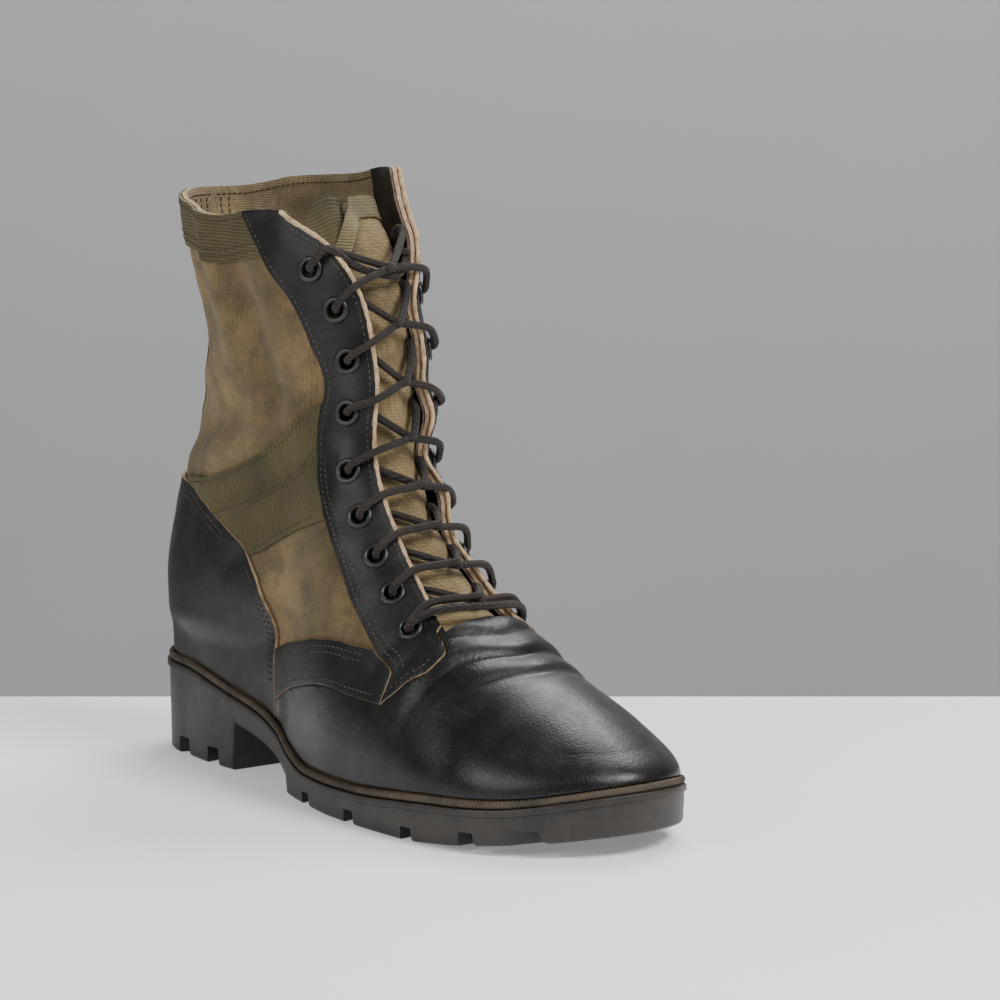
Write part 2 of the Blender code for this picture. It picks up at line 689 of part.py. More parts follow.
def eyelet_seats(side):
    """Points on the throat's edge, eyelet centres and normals, from the lowest up."""
    throat = top_line(side)[2]
    shares = smooth(EYELET_STOPS, 1, np.linspace(0, 1, EYELET_COUNT))
    edges = spaced(throat, shares)
    ahead = spaced(throat, shares + 0.01)
    normals = unit(form_gradient(edges))
    away = unit(np.cross(normals, ahead - edges)) * side
    away *= np.sign((away[:, 1] * side).mean())
    centres = settle(edges + away * EYELET_INSET)
    return edges, normals, centres, unit(form_gradient(centres))


def make_eyelet(name, centre, normal, profile_mesh):
    piece = place(name, profile_mesh, ENAMEL)
    piece.location = Vector(centre)
    piece.rotation_euler = Vector(normal).to_track_quat("Z", "Y").to_euler()
    turned = piece.modifiers.new("turned", "SCREW")
    turned.steps = turned.render_steps = EYELET_SIDES
    turned.use_merge_vertices = True
    turned.merge_threshold = 0.00001
    return piece


def eyelet_profile():
    """Half section of an eyelet, its flange on the eyestay and its barrel through the wall."""
    seat = PANEL_GAP + LEATHER + EYELET_SEAT
    depth = -UPPER_WALL - GAP
    barrel = EYELET_HOLE + 0.0006
    points = [(EYELET_RADIUS, seat + EYELET_RIM), (EYELET_RADIUS, seat), (barrel, seat),
              (barrel, depth), (EYELET_HOLE, depth), (EYELET_HOLE, seat + EYELET_RIM)]
    mesh = bmesh.new()
    verts = [mesh.verts.new((r, 0, z)) for r, z in points]
    for a, b in zip(verts, verts[1:] + verts[:1]):
        mesh.edges.new((a, b))
    data = bpy.data.meshes.new("eyelet_profile")
    mesh.to_mesh(data)
    mesh.free()
    return data


def hole_cutters(name, centres, normals):
    mesh = bmesh.new()
    for centre, normal in zip(centres, normals):
        turn = Vector(normal).to_track_quat("Z", "Y").to_matrix().to_4x4()
        radius = EYELET_HOLE + 0.0006 + GAP
        bmesh.ops.create_cone(mesh, cap_ends=True, segments=EYELET_SIDES, radius1=radius, radius2=radius,
                              depth=0.014, matrix=Matrix.Translation(centre) @ turn)
    return as_cutter(place(name, mesh, None, CUTTERS))


def smooth_route(points, per_span):
    """A smooth curve through a few points, as a list of points."""
    points = [Vector(p) for p in points]
    padded = [points[0] * 2 - points[1]] + points + [points[-1] * 2 - points[-2]]
    route = []
    for a, b, c, d in zip(padded, padded[1:], padded[2:], padded[3:]):
        for step in range(per_span):
            t = step / per_span
            route.append(0.5 * (2 * b + (c - a) * t + (2 * a - 5 * b + 4 * c - d) * t * t
                                + (3 * b - 3 * c + d - a) * t ** 3))
    return route + [points[-1]]


def cord_mesh(name, points):
    """A round cord as a closed mesh."""
    data = bpy.data.curves.new(name, "CURVE")
    data.dimensions = "3D"
    data.bevel_depth = LACE_RADIUS
    data.bevel_resolution = 1
    data.use_fill_caps = True
    line = data.splines.new("POLY")
    line.points.add(len(points) - 1)
    for point, co in zip(line.points, points):
        point.co = (*co, 1)
    made = bpy.data.objects.new(name, data)
    PARTS.objects.link(made)
    bpy.context.view_layer.update()
    mesh = bpy.data.meshes.new_from_object(made.evaluated_get(
        bpy.context.evaluated_depsgraph_get()))
    bpy.data.objects.remove(made)
    welded = bmesh.new()
    welded.from_mesh(mesh)
    bmesh.ops.remove_doubles(welded, verts=welded.verts, dist=0.00001)
    bmesh.ops.recalc_face_normals(welded, faces=welded.faces)
    return welded


def over_front(level):
    """Point in the middle of the throat on the form, and its normal."""
    start = np.array([[0.24 * SOLE_LENGTH, 0.0, level]])
    point = reach(start, (1, 0, 0), 0.2)
    return point[0], unit(form_gradient(point))[0]


def make_laces(seats):
    """The crossings, and the straight bar at the lowest eyelets."""
    over_eyelet = PANEL_GAP + LEATHER + EYELET_SEAT + EYELET_RIM + GAP + LACE_RADIUS

    def off_eyelet(side, row, leave):
        """From over the hole to clear of the flange, parallel to it."""
        centre, normal = seats[side][2][row], seats[side][3][row]
        away = leave - centre
        away = unit(away - normal * (away @ normal))
        lifted = centre + normal * over_eyelet
        return [lifted, lifted + away * EYELET_RADIUS]

    def strand(side, low, high):
        edges, normals = seats[side][0], seats[side][1]
        far_edges, far_normals = seats[-side][0], seats[-side][1]
        leave = edges[low] * 0.75 + edges[high] * 0.25
        middle, outward = over_front((edges[low][2] + edges[high][2] + far_edges[high][2]
                                      + far_edges[low][2]) / 4)
        inward = middle - far_edges[high]
        inward = unit(inward - far_normals[high] * (inward @ far_normals[high]))
        stop = far_edges[high] + inward * (LACE_RADIUS + 2 * GAP)
        return smooth_route(off_eyelet(side, low, leave) + [
            leave + normals[low] * over_eyelet,
            middle + outward * LACE_RADIUS / 2, stop + far_normals[high] * LACE_RADIUS / 2], 2)

    for step in range(1, EYELET_COUNT - 1):
        name = "lace_crossing_%d" % (EYELET_COUNT - 1 - step)
        first = place(name, cord_mesh(name, strand(LATERAL, step, step + 1)), LACE_BROWN)
        second = place(name + "_second", cord_mesh(name, strand(MEDIAL, step, step + 1)),
                       None, CUTTERS)
        cut(first, as_cutter(second), "UNION")
    lateral, medial = seats[LATERAL], seats[MEDIAL]
    middle, outward = over_front((lateral[0][0][2] + medial[0][0][2]) / 2 + 0.002)
    bar = smooth_route(
        off_eyelet(LATERAL, 0, lateral[0][0])
        + [lateral[0][0] + lateral[1][0] * over_eyelet, middle + outward * 0.002,
           medial[0][0] + medial[1][0] * over_eyelet]
        + off_eyelet(MEDIAL, 0, medial[0][0])[::-1], 2)
    place("lace_bar", cord_mesh("lace_bar", bar), LACE_BROWN)


def tongue_line():
    """Middle of the tongue's front: under the vamp, up the instep, up the shaft's front."""
    turn_x = 0.60 * SOLE_LENGTH
    x = np.linspace(TONGUE_FOOT * SOLE_LENGTH, turn_x, 30)
    low = reach(np.stack([x, centre_y(x), rim_z(x) + 0.01], -1), (0, 0, 1), 0.2)
    z = np.linspace(low[-1, 2], TONGUE_TOP * SHAFT_HEIGHT, 80)[1:]
    starts = np.stack([np.full_like(z, 0.24 * SOLE_LENGTH), np.zeros_like(z), z], -1)
    return np.concatenate([low, reach(starts, (1, 0, 0), 0.2)])


def make_tongue():
    shares = np.linspace(0, 1, TONGUE_STEPS + 1)
    middle = spaced(tongue_line(), shares)
    slope = form_gradient(middle)
    slope[:, 1] = 0
    slope = unit(slope)
    half = smooth(TONGUE, 1, shares) * SHAFT_WIDTH
    lean = smooth(TONGUE, 2, shares) * SHAFT_WIDTH
    sunk = UPPER_WALL + TONGUE_CLEAR + TONGUE_WALL / 2
    back_off = 0.03
    mesh = bmesh.new()
    rows = []
    for i in range(TONGUE_STEPS + 1):
        row = []
        for across in np.linspace(-1, 1, TONGUE_COLUMNS + 1):
            start = middle[i] - slope[i] * back_off + np.array([0, half[i] * across, 0])
            point = reach(start[None], slope[i], 2 * back_off)
            point = point - unit(form_gradient(point)) * sunk
            row.append(mesh.verts.new(point[0] - np.array([lean[i], 0, 0])))
        rows.append(row)
    for row, after in zip(rows[:-1], rows[1:]):
        for j in range(TONGUE_COLUMNS):
            mesh.faces.new([row[j], row[j + 1], after[j + 1], after[j]])
    mesh.normal_update()
    piece = place("tongue", mesh, TONGUE_CANVAS)
    thicken(piece, TONGUE_WALL, outward=False).offset = 0.0
    return piece


def main():
    global PARTS, CUTTERS, FRAME
    for old in list(bpy.data.objects):
        bpy.data.objects.remove(old)
    PARTS, CUTTERS = collection("jungle_boot"), collection("cutters")
    FRAME = bpy.data.objects.new("boot_frame", None)
    FRAME.location.x = -HEEL_REST_X
    PARTS.objects.link(FRAME)

    make_outsole()
    make_welt()
    make_insole()
    upper = place("upper", upper_sheet(), CANVAS)
    thicken(upper, UPPER_WALL, outward=False)
    make_tongue()

    out_of_counter = (beyond(OVER_COUNTER, SEAM_GAP), beyond(AHEAD_OF_COUNTER, SEAM_GAP))
    in_vamp = (lambda x, y, z: OVER_BAND_FOOT(x, y, z) + SEAM_GAP,
               beyond(AHEAD_OF_TAB, SEAM_GAP))
    panel("vamp", [below_welt, in_vamp, out_of_counter], LEATHER, BLACK_LEATHER)
    panel("counter", [below_welt, OVER_COUNTER, AHEAD_OF_COUNTER], LEATHER, BLACK_LEATHER)
    seats = {side: eyelet_seats(side) for side in (LATERAL, MEDIAL)}
    profile = eyelet_profile()
    for side, word in ((LATERAL, "lateral"), (MEDIAL, "medial")):
        panel("side_band_" + word, [
            on_side(side), out_of_counter, behind_eyestay, beyond(OVER_BAND_FOOT),
            OVER_CANVAS_FOOT], LEATHER, BLACK_LEATHER)
        eyestay = panel("eyestay_" + word, [
            on_side(side), beyond(AHEAD_OF_EYESTAY_REAR), AHEAD_OF_TAB,
            beyond(OVER_BAND_FOOT)], LEATHER, BLACK_LEATHER)
        panel("ankle_webbing_" + word, [
            on_side(side), out_of_counter, behind_eyestay, lambda x, y, z: 0.03 - x,
            beyond(OVER_WEBBING_FOOT), OVER_WEBBING_TOP], WEBBING, OLIVE)
        cutter = hole_cutters("eyelet_holes_" + word, seats[side][2], seats[side][3])
        cut(upper, cutter)
        cut(eyestay, cutter)
        for number in range(EYELET_COUNT):
            row = EYELET_COUNT - number
            make_eyelet("eyelet_%s_%d" % (word, row), seats[side][2][number],
                        seats[side][3][number], profile)
    panel("backstay", [
        lambda x, y, z: np.abs(y) - BACKSTAY_HALF, lambda x, y, z: x - 0.12 * SOLE_LENGTH,
        beyond(OVER_WEBBING_TOP, SEAM_GAP), out_of_counter,
        lambda x, y, z: z - collar_z(x, y) + COLLAR_BAND + SEAM_GAP], WEBBING, OLIVE)
    panel("collar_band", [
        behind_eyestay, lambda x, y, z: collar_z(x, y) - COLLAR_BAND - z], WEBBING, OLIVE)
    make_laces(seats)


main()
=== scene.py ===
"""Looks of the right jungle boot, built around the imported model.

The upper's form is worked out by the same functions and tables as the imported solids, on a finer
grid. They count x from the back of the sole, so every piece is set back by HEEL_REST_X.
"""
import math

import bmesh
import bpy
import numpy as np
from mathutils import Matrix, Vector


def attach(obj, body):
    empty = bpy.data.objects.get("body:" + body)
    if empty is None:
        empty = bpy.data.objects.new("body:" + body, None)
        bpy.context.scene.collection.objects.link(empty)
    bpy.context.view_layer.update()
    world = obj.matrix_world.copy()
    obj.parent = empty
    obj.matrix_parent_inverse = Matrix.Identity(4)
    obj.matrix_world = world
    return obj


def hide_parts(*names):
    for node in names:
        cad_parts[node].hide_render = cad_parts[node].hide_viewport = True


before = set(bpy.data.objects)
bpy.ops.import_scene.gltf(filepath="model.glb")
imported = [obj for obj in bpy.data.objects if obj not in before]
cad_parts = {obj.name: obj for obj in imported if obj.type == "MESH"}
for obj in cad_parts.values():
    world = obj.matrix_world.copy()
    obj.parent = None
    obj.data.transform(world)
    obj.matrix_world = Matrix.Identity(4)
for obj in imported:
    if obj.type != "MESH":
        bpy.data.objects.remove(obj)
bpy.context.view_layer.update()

# Driving dimensions, in metres
SOLE_LENGTH = 0.305
BALL_WIDTH = 0.107
SHAFT_HEIGHT = 0.250
SHAFT_WIDTH = 0.070
SOLE_RISE = 0.040
HEEL_REST_X = 0.036
BAND = 0.0115
LEDGE = 0.005
WELT_HEIGHT = 0.0034
UPPER_WALL = 0.0018
LEATHER = 0.0016
WEBBING = 0.0012
TONGUE_WALL = 0.0016
EYELET_RADIUS = 0.0055
EYELET_HOLE = 0.0029
EYELET_COUNT = 9
LACE_RADIUS = 0.0016
LUG_DEPTH = 0.0055
GAP = 0.0003
SEAM_GAP = 0.0005
PANEL_GAP = 0.00045
FEATHER_LIFT = 0.0008
WELT_CLEAR = 0.0010

RIBS = 150
ROWS = 100
LATERAL, MEDIAL = -1, 1
SIDES = ((LATERAL, "lateral"), (MEDIAL, "medial"))

# Eyelet holes: clearance round the barrel and length of the cut
HOLE_CLEAR = 0.0008
HOLE_CUT = 0.016

# Where the panels that run round the back meet and where rays from inside the form start
WEBBING_REAR_X = 0.03
BACKSTAY_FRONT_X = 0.12 * SOLE_LENGTH
INSIDE_X = 0.24 * SOLE_LENGTH
SHAFT_MIDDLE_X = 0.2 * SOLE_LENGTH
RAY = 0.2

# Edge of the sole: share of the length, outer and inner share of the ball width
OUTLINE = [
    (0.115, 0.325, 0.327), (0.197, 0.346, 0.332), (0.295, 0.341, 0.308), (0.361, 0.364, 0.280),
    (0.426, 0.430, 0.276), (0.492, 0.481, 0.285), (0.574, 0.523, 0.327), (0.656, 0.533, 0.393),
    (0.738, 0.528, 0.453), (0.803, 0.500, 0.472)]
HEEL_END = OUTLINE[0][0] * SOLE_LENGTH
TOE_START = OUTLINE[-1][0] * SOLE_LENGTH
HEEL_ROUND = 2.15
TOE_ROUND = {LATERAL: 1.72, MEDIAL: 2.0}

# Line down the middle: share of the length, y as a share of the ball width
CENTRE = [(0.0, 0.0), (0.3, 0.0), (0.5, -0.019), (0.65, -0.019), (0.8, 0.010), (1.0, 0.033)]

# Top of the sole: share of the length, share of the sole's rise
RIM = [
    (0.0, 1.0), (0.131, 0.963), (0.246, 0.793), (0.328, 0.650), (0.410, 0.450), (0.492, 0.313),
    (0.623, 0.325), (0.754, 0.400), (0.885, 0.463), (1.0, 0.638)]


# Underside in front of the shank: share of the length, share of the sole's rise
TREAD = [(0.46, 0.0), (0.72, 0.0), (0.80, 0.035), (0.88, 0.10), (0.94, 0.155), (1.0, 0.23)]
BREAST = 0.246
TREAD_BACK = 0.415

# Foot: share of the length, height of the ridge as a share of the shaft, power of the section
FOOT = [
    (0.0, 0.600, 2.6), (0.328, 0.600, 2.6), (0.459, 0.596, 2.4), (0.498, 0.552, 2.3),
    (0.541, 0.484, 2.2), (0.590, 0.412, 2.2), (0.639, 0.356, 2.25), (0.689, 0.319, 2.25),
    (0.738, 0.280, 2.1), (0.803, 0.238, 2.0), (0.869, 0.211, 2.05), (0.934, 0.190, 2.2),
    (1.0, 0.170, 2.4)]


# Shaft: share of its height, back and front as shares of the length, outer and inner side
# as shares of the shaft's width, power of the section
SHAFT = [
    (0.12, 0.039, 0.36, 0.330, 0.330, 2.3), (0.176, 0.031, 0.37, 0.380, 0.370, 2.3),
    (0.208, 0.015, 0.38, 0.445, 0.430, 2.35), (0.252, 0.004, 0.40, 0.510, 0.485, 2.35),
    (0.34, 0.016, 0.44, 0.505, 0.485, 2.3), (0.44, 0.044, 0.475, 0.470, 0.457, 2.2),
    (0.54, 0.064, 0.490, 0.443, 0.443, 2.2), (0.64, 0.075, 0.490, 0.440, 0.446, 2.2),
    (0.74, 0.069, 0.480, 0.460, 0.464, 2.2), (0.84, 0.049, 0.462, 0.486, 0.486, 2.2),
    (0.94, 0.031, 0.438, 0.500, 0.500, 2.2), (1.02, 0.022, 0.415, 0.503, 0.514, 2.2)]


# Blend of foot and shaft: share of the shaft's height, radius
BLEND = [(0.0, 0.002), (0.22, 0.002), (0.34, 0.010), (1.0, 0.012)]

# Collar edge: share of the length, height on the outer and the inner side as shares
COLLAR = [(0.040, 0.972, 0.972), (0.10, 0.962, 0.990), (0.22, 0.944, 1.002), (0.31, 0.960, 1.020),
          (0.40, 0.965, 1.026)]
COLLAR_CORNER = {LATERAL: 0.960, MEDIAL: 1.020}

# Throat: share of the shaft's height, half opening outwards and inwards as shares of its width
THROAT = [
    (0.30, 0.300, 0.285), (0.356, 0.257, 0.220), (0.40, 0.243, 0.200), (0.50, 0.230, 0.175),
    (0.60, 0.190, 0.172), (0.70, 0.145, 0.180), (0.78, 0.157, 0.210), (0.845, 0.200, 0.240),
    (0.904, 0.290, 0.290), (0.960, 0.425, 0.350), (1.02, 0.450, 0.400)]
THROAT_FOOT = 0.685
RIDGE_FRONT = 0.860

# Ribs of the upper: share along the feather edge from toe to heel, stop along the top line
# (0 to 1 ridge, 1 to 2 across the vamp, 2 to 3 throat, 3 to 4 collar)
RIB_STOPS = [(0.0, 0.0), (0.10, 0.28), (0.185, 0.64), (0.2593, 1.0), (0.2963, 2.0), (0.44, 2.24),
             (0.53, 2.42), (0.62, 2.68), (0.72, 3.0), (1.0, 4.0)]


# Panel edges in side view. Heights are shares of the shaft, lengths shares of the sole
EYESTAY_REAR = [
    (0.18, 0.660), (0.244, 0.659), (0.272, 0.620), (0.312, 0.580), (0.348, 0.548),
    (0.416, 0.502), (0.460, 0.472), (0.504, 0.443), (0.544, 0.426), (0.600, 0.420),
    (0.672, 0.426), (0.748, 0.403), (0.816, 0.370), (0.872, 0.331), (0.916, 0.302),
    (0.952, 0.282), (1.05, 0.270)]
TAB_FRONT = [
    (0.18, 0.655), (0.200, 0.662), (0.216, 0.675), (0.236, 0.689), (0.252, 0.705),
    (0.272, 0.708), (0.292, 0.694), (0.308, 0.676), (0.330, 0.670)]
CANVAS_FOOT = [
    (0.30, 0.205), (0.344, 0.224), (0.400, 0.248), (0.459, 0.264), (0.502, 0.276),
    (0.548, 0.280), (0.587, 0.276), (0.680, 0.272)]
BAND_FOOT = [
    (0.30, 0.130), (0.351, 0.144), (0.397, 0.168), (0.462, 0.192), (0.508, 0.204),
    (0.548, 0.208), (0.580, 0.204), (0.680, 0.196)]
COUNTER_TOP = [(0.0, 0.484), (0.125, 0.468), (0.167, 0.448), (0.226, 0.420), (0.269, 0.396),
               (0.360, 0.335)]
COUNTER_FRONT = [(0.0, 0.345), (0.14, 0.352), (0.240, 0.350), (0.292, 0.338), (0.332, 0.318),
                 (0.364, 0.295), (0.396, 0.269), (0.500, 0.180)]
WEBBING_TOP = [(0.0, 0.478), (0.151, 0.488), (0.216, 0.508), (0.292, 0.544), (0.357, 0.588),
               (0.387, 0.624), (0.430, 0.652)]
WEBBING_FOOT = [(0.0, 0.330), (0.295, 0.380), (0.361, 0.416), (0.407, 0.440), (0.470, 0.464)]
COLLAR_BAND = 0.020
BACKSTAY_HALF = 0.011
TONGUE_CLEAR = 0.0030
EYELET_INSET = 0.0115

# Eyelets: share of the row from the lowest up, share of the throat's edge
EYELET_STOPS = [(0.0, 0.046), (0.375, 0.318), (0.5, 0.407), (0.75, 0.628), (1.0, 0.862)]

# Tongue: stop along the front line (0 at its foot under the vamp, 1 at its top), half width,
# and how far the top leans back from the front, as shares of the shaft's width
TONGUE = [(0.0, 0.30, 0.0), (0.25, 0.33, 0.0), (0.5, 0.36, 0.0), (0.78, 0.38, 0.02),
          (0.9, 0.40, 0.12), (1.0, 0.42, 0.26)]
TONGUE_FOOT = 0.725
TONGUE_TOP = 0.985

# Gaps between the lugs: share of the length, sweep in degrees
LUG_GAPS = [(0.485, 16), (0.610, 14), (0.738, 10), (0.846, -4), (0.926, -24)]
LUG_GAP_WIDTH = 0.0058
LUG_GAP_REACH = 0.026
HEEL_GAPS = [(0.112, -22), (0.195, 14)]
HEEL_GAP_WIDTH = 0.0075
HEEL_GAP_REACH = 0.015
HEEL_GAP_DEPTH = 0.0075


def smooth(table, column, at):
    """Monotone cubic through a table's rows, read at one place or many."""
    rows = np.asarray(table, float)
    x, y = rows[:, 0], rows[:, column]
    step = np.diff(x)
    slope = np.diff(y) / step
    tangent = np.zeros_like(y)
    tangent[0], tangent[-1] = slope[0], slope[-1]
    left, right = 2 * step[1:] + step[:-1], step[1:] + 2 * step[:-1]
    same = slope[:-1] * slope[1:] > 0
    safe_left = np.where(same, slope[:-1], 1.0)
    safe_right = np.where(same, slope[1:], 1.0)
    mean = (left + right) / (left / safe_left + right / safe_right)
    tangent[1:-1] = np.where(same, mean, 0.0)
    at = np.clip(np.asarray(at, float), x[0], x[-1])
    i = np.clip(np.searchsorted(x, at, side="right") - 1, 0, len(x) - 2)
    s = (at - x[i]) / step[i]
    start = (1 + 2 * s) * (1 - s) ** 2 * y[i] + s * (1 - s) ** 2 * step[i] * tangent[i]
    end = s * s * (3 - 2 * s) * y[i + 1] + s * s * (s - 1) * step[i] * tangent[i + 1]
    return start + end


def rim_z(x):
    """Height of the sole's top."""
    return smooth(RIM, 1, x / SOLE_LENGTH) * SOLE_RISE


def centre_y(x):
    """The line down the middle of foot and sole."""
    return smooth(CENTRE, 1, x / SOLE_LENGTH) * BALL_WIDTH


def half_width(x, side, inset):
    """From the middle line to the edge, inset, in the straight part of the outline."""
    column = 1 if side == LATERAL else 2
    return smooth(OUTLINE, column, x / SOLE_LENGTH) * BALL_WIDTH - inset - side * centre_y(x)


def outline_y(x, side, inset):
    """Edge of the sole, inset, at a length."""
    x = np.asarray(x, float)
    half = half_width(np.clip(x, HEEL_END, TOE_START), side, inset)
    toe = np.clip((x - TOE_START) / (SOLE_LENGTH - inset - TOE_START), 0, 1)
    heel = np.clip((HEEL_END - x) / (HEEL_END - inset), 0, 1)
    toe_round = TOE_ROUND[side]
    half = half * (1 - toe ** toe_round) ** (1 / toe_round)
    half = half * (1 - heel ** HEEL_ROUND) ** (1 / HEEL_ROUND)
    return centre_y(x) + side * half


def outline_share(x, y, inset):
    """1 on the inset outline, less inside it."""
    lateral = y < centre_y(x)
    straight = np.clip(x, HEEL_END, TOE_START)
    half = np.where(lateral, half_width(straight, LATERAL, inset),
                    half_width(straight, MEDIAL, inset))
    across = np.abs(y - centre_y(x)) / half
    toe = np.clip((x - TOE_START) / (SOLE_LENGTH - inset - TOE_START), 0, None)
    heel = np.clip((HEEL_END - x) / (HEEL_END - inset), 0, None)
    toe_power = np.where(lateral, TOE_ROUND[LATERAL], TOE_ROUND[MEDIAL])
    power = np.where(x > TOE_START, toe_power, HEEL_ROUND)
    return (across ** power + np.where(x > TOE_START, toe, heel) ** power) ** (1 / power)


def foot_form(x, y, z):
    """Signed, roughly in metres: the last's foot, a dome over the feather line."""
    floor = rim_z(x)
    rise = smooth(FOOT, 1, x / SOLE_LENGTH) * SHAFT_HEIGHT - floor
    power = smooth(FOOT, 2, x / SOLE_LENGTH)
    up = np.clip(z - floor, 0, None) / rise
    fullness = 1 + 0.03 * np.sin(np.pi * np.clip(up * 1.6, 0, 1))
    across = outline_share(x, y, LEDGE) / fullness
    return ((across ** power + up ** power) ** (1 / power) - 1) * SHAFT_WIDTH / 2


def shaft_form(x, y, z):
    """Signed, roughly in metres: heel cup, ankle and leg, by level sections."""
    level = z / SHAFT_HEIGHT
    back = smooth(SHAFT, 1, level) * SOLE_LENGTH
    front = smooth(SHAFT, 2, level) * SOLE_LENGTH
    half = np.where(y < 0, smooth(SHAFT, 3, level), smooth(SHAFT, 4, level)) * SHAFT_WIDTH
    power = smooth(SHAFT, 5, level)
    along = np.abs(x - (back + front) / 2) / ((front - back) / 2)
    return ((along ** power + (np.abs(y) / half) ** power) ** (1 / power) - 1) * SHAFT_WIDTH / 2


def form(points):
    """The upper's outer surface is where this is zero; inside it is negative."""
    x, y, z = points[..., 0], points[..., 1], points[..., 2]
    foot, shaft = foot_form(x, y, z), shaft_form(x, y, z)
    radius = smooth(BLEND, 1, z / SHAFT_HEIGHT)
    near = np.clip(radius - np.abs(foot - shaft), 0, None) / radius
    return np.minimum(foot, shaft) - near * near * radius / 4


def form_gradient(points):
    """Central differences of the form."""
    step = 1e-5
    parts = []
    for axis in range(3):
        shift = np.zeros(3)
        shift[axis] = step
        parts.append((form(points + shift) - form(points - shift)) / (2 * step))
    return np.stack(parts, axis=-1)


def settle(points, level=False):
    """Moves points onto the form's surface, or along it at their own height."""
    points = np.array(points, float)
    for _ in range(14):
        slope = form_gradient(points)
        if level:
            slope[..., 2] = 0
        size = np.maximum((slope ** 2).sum(-1, keepdims=True), 0.04)
        points = points - np.clip(form(points)[..., None] * slope / size, -0.01, 0.01)
    return points


def reach(starts, direction, far=0.35):
    """From inside the form, the last point along the direction that is still inside."""
    starts, direction = np.asarray(starts, float), np.asarray(direction, float)
    low = np.zeros(starts.shape[:-1])
    high = np.full(starts.shape[:-1], far)
    for _ in range(40):
        middle = (low + high) / 2
        inside = form(starts + middle[..., None] * direction) < 0
        low, high = np.where(inside, middle, low), np.where(inside, high, middle)
    return starts + low[..., None] * direction


def spaced(line, shares):
    """Points at shares of a polyline's length."""
    line = np.asarray(line, float)
    length = np.concatenate([[0], np.cumsum(np.linalg.norm(np.diff(line, axis=0), axis=1))])
    at = np.asarray(shares) * length[-1]
    return np.stack([np.interp(at, length, line[:, axis]) for axis in range(3)], axis=-1)


def feather_line(side, inset, lift):
    """The sole's edge, inset, from toe to heel, at a height above the sole's top."""
    quarter = np.linspace(0, math.pi / 2, 80)
    toe = TOE_START + (SOLE_LENGTH - inset - TOE_START) * np.cos(quarter)
    straight = np.linspace(TOE_START, HEEL_END, 80)[1:-1]
    heel = HEEL_END - (HEEL_END - inset) * np.sin(quarter)
    x = np.concatenate([toe, straight, heel])
    return np.stack([x, outline_y(x, side, inset), rim_z(x) + lift], axis=-1)


def throat_half(level, side):
    """Half the throat's opening on one side, at a share of the height."""
    return smooth(THROAT, 1 if side == LATERAL else 2, level) * SHAFT_WIDTH


def top_line(side):
    """The upper's top edge in four stretches: ridge, across the vamp, throat, collar."""
    x = np.linspace(RIDGE_FRONT, THROAT_FOOT, 24) * SOLE_LENGTH
    ridge = reach(np.stack([x, centre_y(x), rim_z(x) + 0.01], -1), (0, 0, 1), RAY)
    x = np.full(12, THROAT_FOOT * SOLE_LENGTH)
    across = centre_y(x) + side * np.linspace(0, 1, 12) * throat_half(THROAT[0][0], side)
    across = reach(np.stack([x, across, rim_z(x) + 0.01], -1), (0, 0, 1), RAY)
    foot_level = across[-1, 2] / SHAFT_HEIGHT
    climb = np.linspace(0, 1, 80)
    level = foot_level + (COLLAR_CORNER[side] - foot_level) * climb
    sides = side * throat_half(level, side) + centre_y(x[0]) * (1 - climb)
    inner_x = np.full(80, INSIDE_X)
    throat = reach(np.stack([inner_x, sides, level * SHAFT_HEIGHT], -1), (1, 0, 0), RAY)
    throat[0] = across[-1]
    corner = throat[-1]
    middle_x = SHAFT_MIDDLE_X
    reach_x, reach_y = SHAFT_MIDDLE_X, SHAFT_WIDTH / 2
    start = math.atan2(abs(corner[1]) / reach_y, (corner[0] - middle_x) / reach_x)
    turn = np.linspace(start, math.pi, 50)
    collar = np.stack([middle_x + reach_x * np.cos(turn), side * reach_y * np.sin(turn),
                       np.full(50, SHAFT_HEIGHT)], -1)
    column = 1 if side == LATERAL else 2
    for _ in range(4):
        collar[:, 2] = smooth(COLLAR, column, collar[:, 0] / SOLE_LENGTH) * SHAFT_HEIGHT
        collar = settle(collar, level=True)
    collar[0] = corner
    collar[-1, 1] = 0
    return [ridge, across, throat, collar]


def rib_points(side, ribs=RIBS, rows=ROWS):
    """Grid of points on the upper's outer surface: ribs from toe to heel, rows upwards."""
    stretches = top_line(side)
    shares = np.linspace(0, 1, ribs + 1)
    feet = spaced(feather_line(side, LEDGE, FEATHER_LIFT), shares)
    tops = []
    for stop in smooth(RIB_STOPS, 1, shares):
        stretch = min(int(stop), 3)
        tops.append(spaced(stretches[stretch], [stop - stretch])[0])
    tops = np.array(tops)
    fine = np.linspace(0, 1, 181)[None, :, None]
    spread = np.linalg.norm((tops - feet)[:, :2], axis=1)[:, None]
    lean = np.clip(spread / 0.04, 0, 1)
    corner = np.concatenate([feet[:, :2], tops[:, 2:]], axis=1)
    corner = (feet + tops) / 2 * (1 - lean) + corner * lean
    curve = ((1 - fine) ** 2 * feet[:, None] + 2 * fine * (1 - fine) * corner[:, None]
             + fine ** 2 * tops[:, None])
    curve = settle(curve)
    curve[:, 0], curve[:, -1] = feet, tops
    curve[0, :, 1] = centre_y(curve[0, :, 0])
    curve[-1, :, 1] = 0
    return np.array([spaced(rib, np.linspace(0, 1, rows + 1)) for rib in curve])


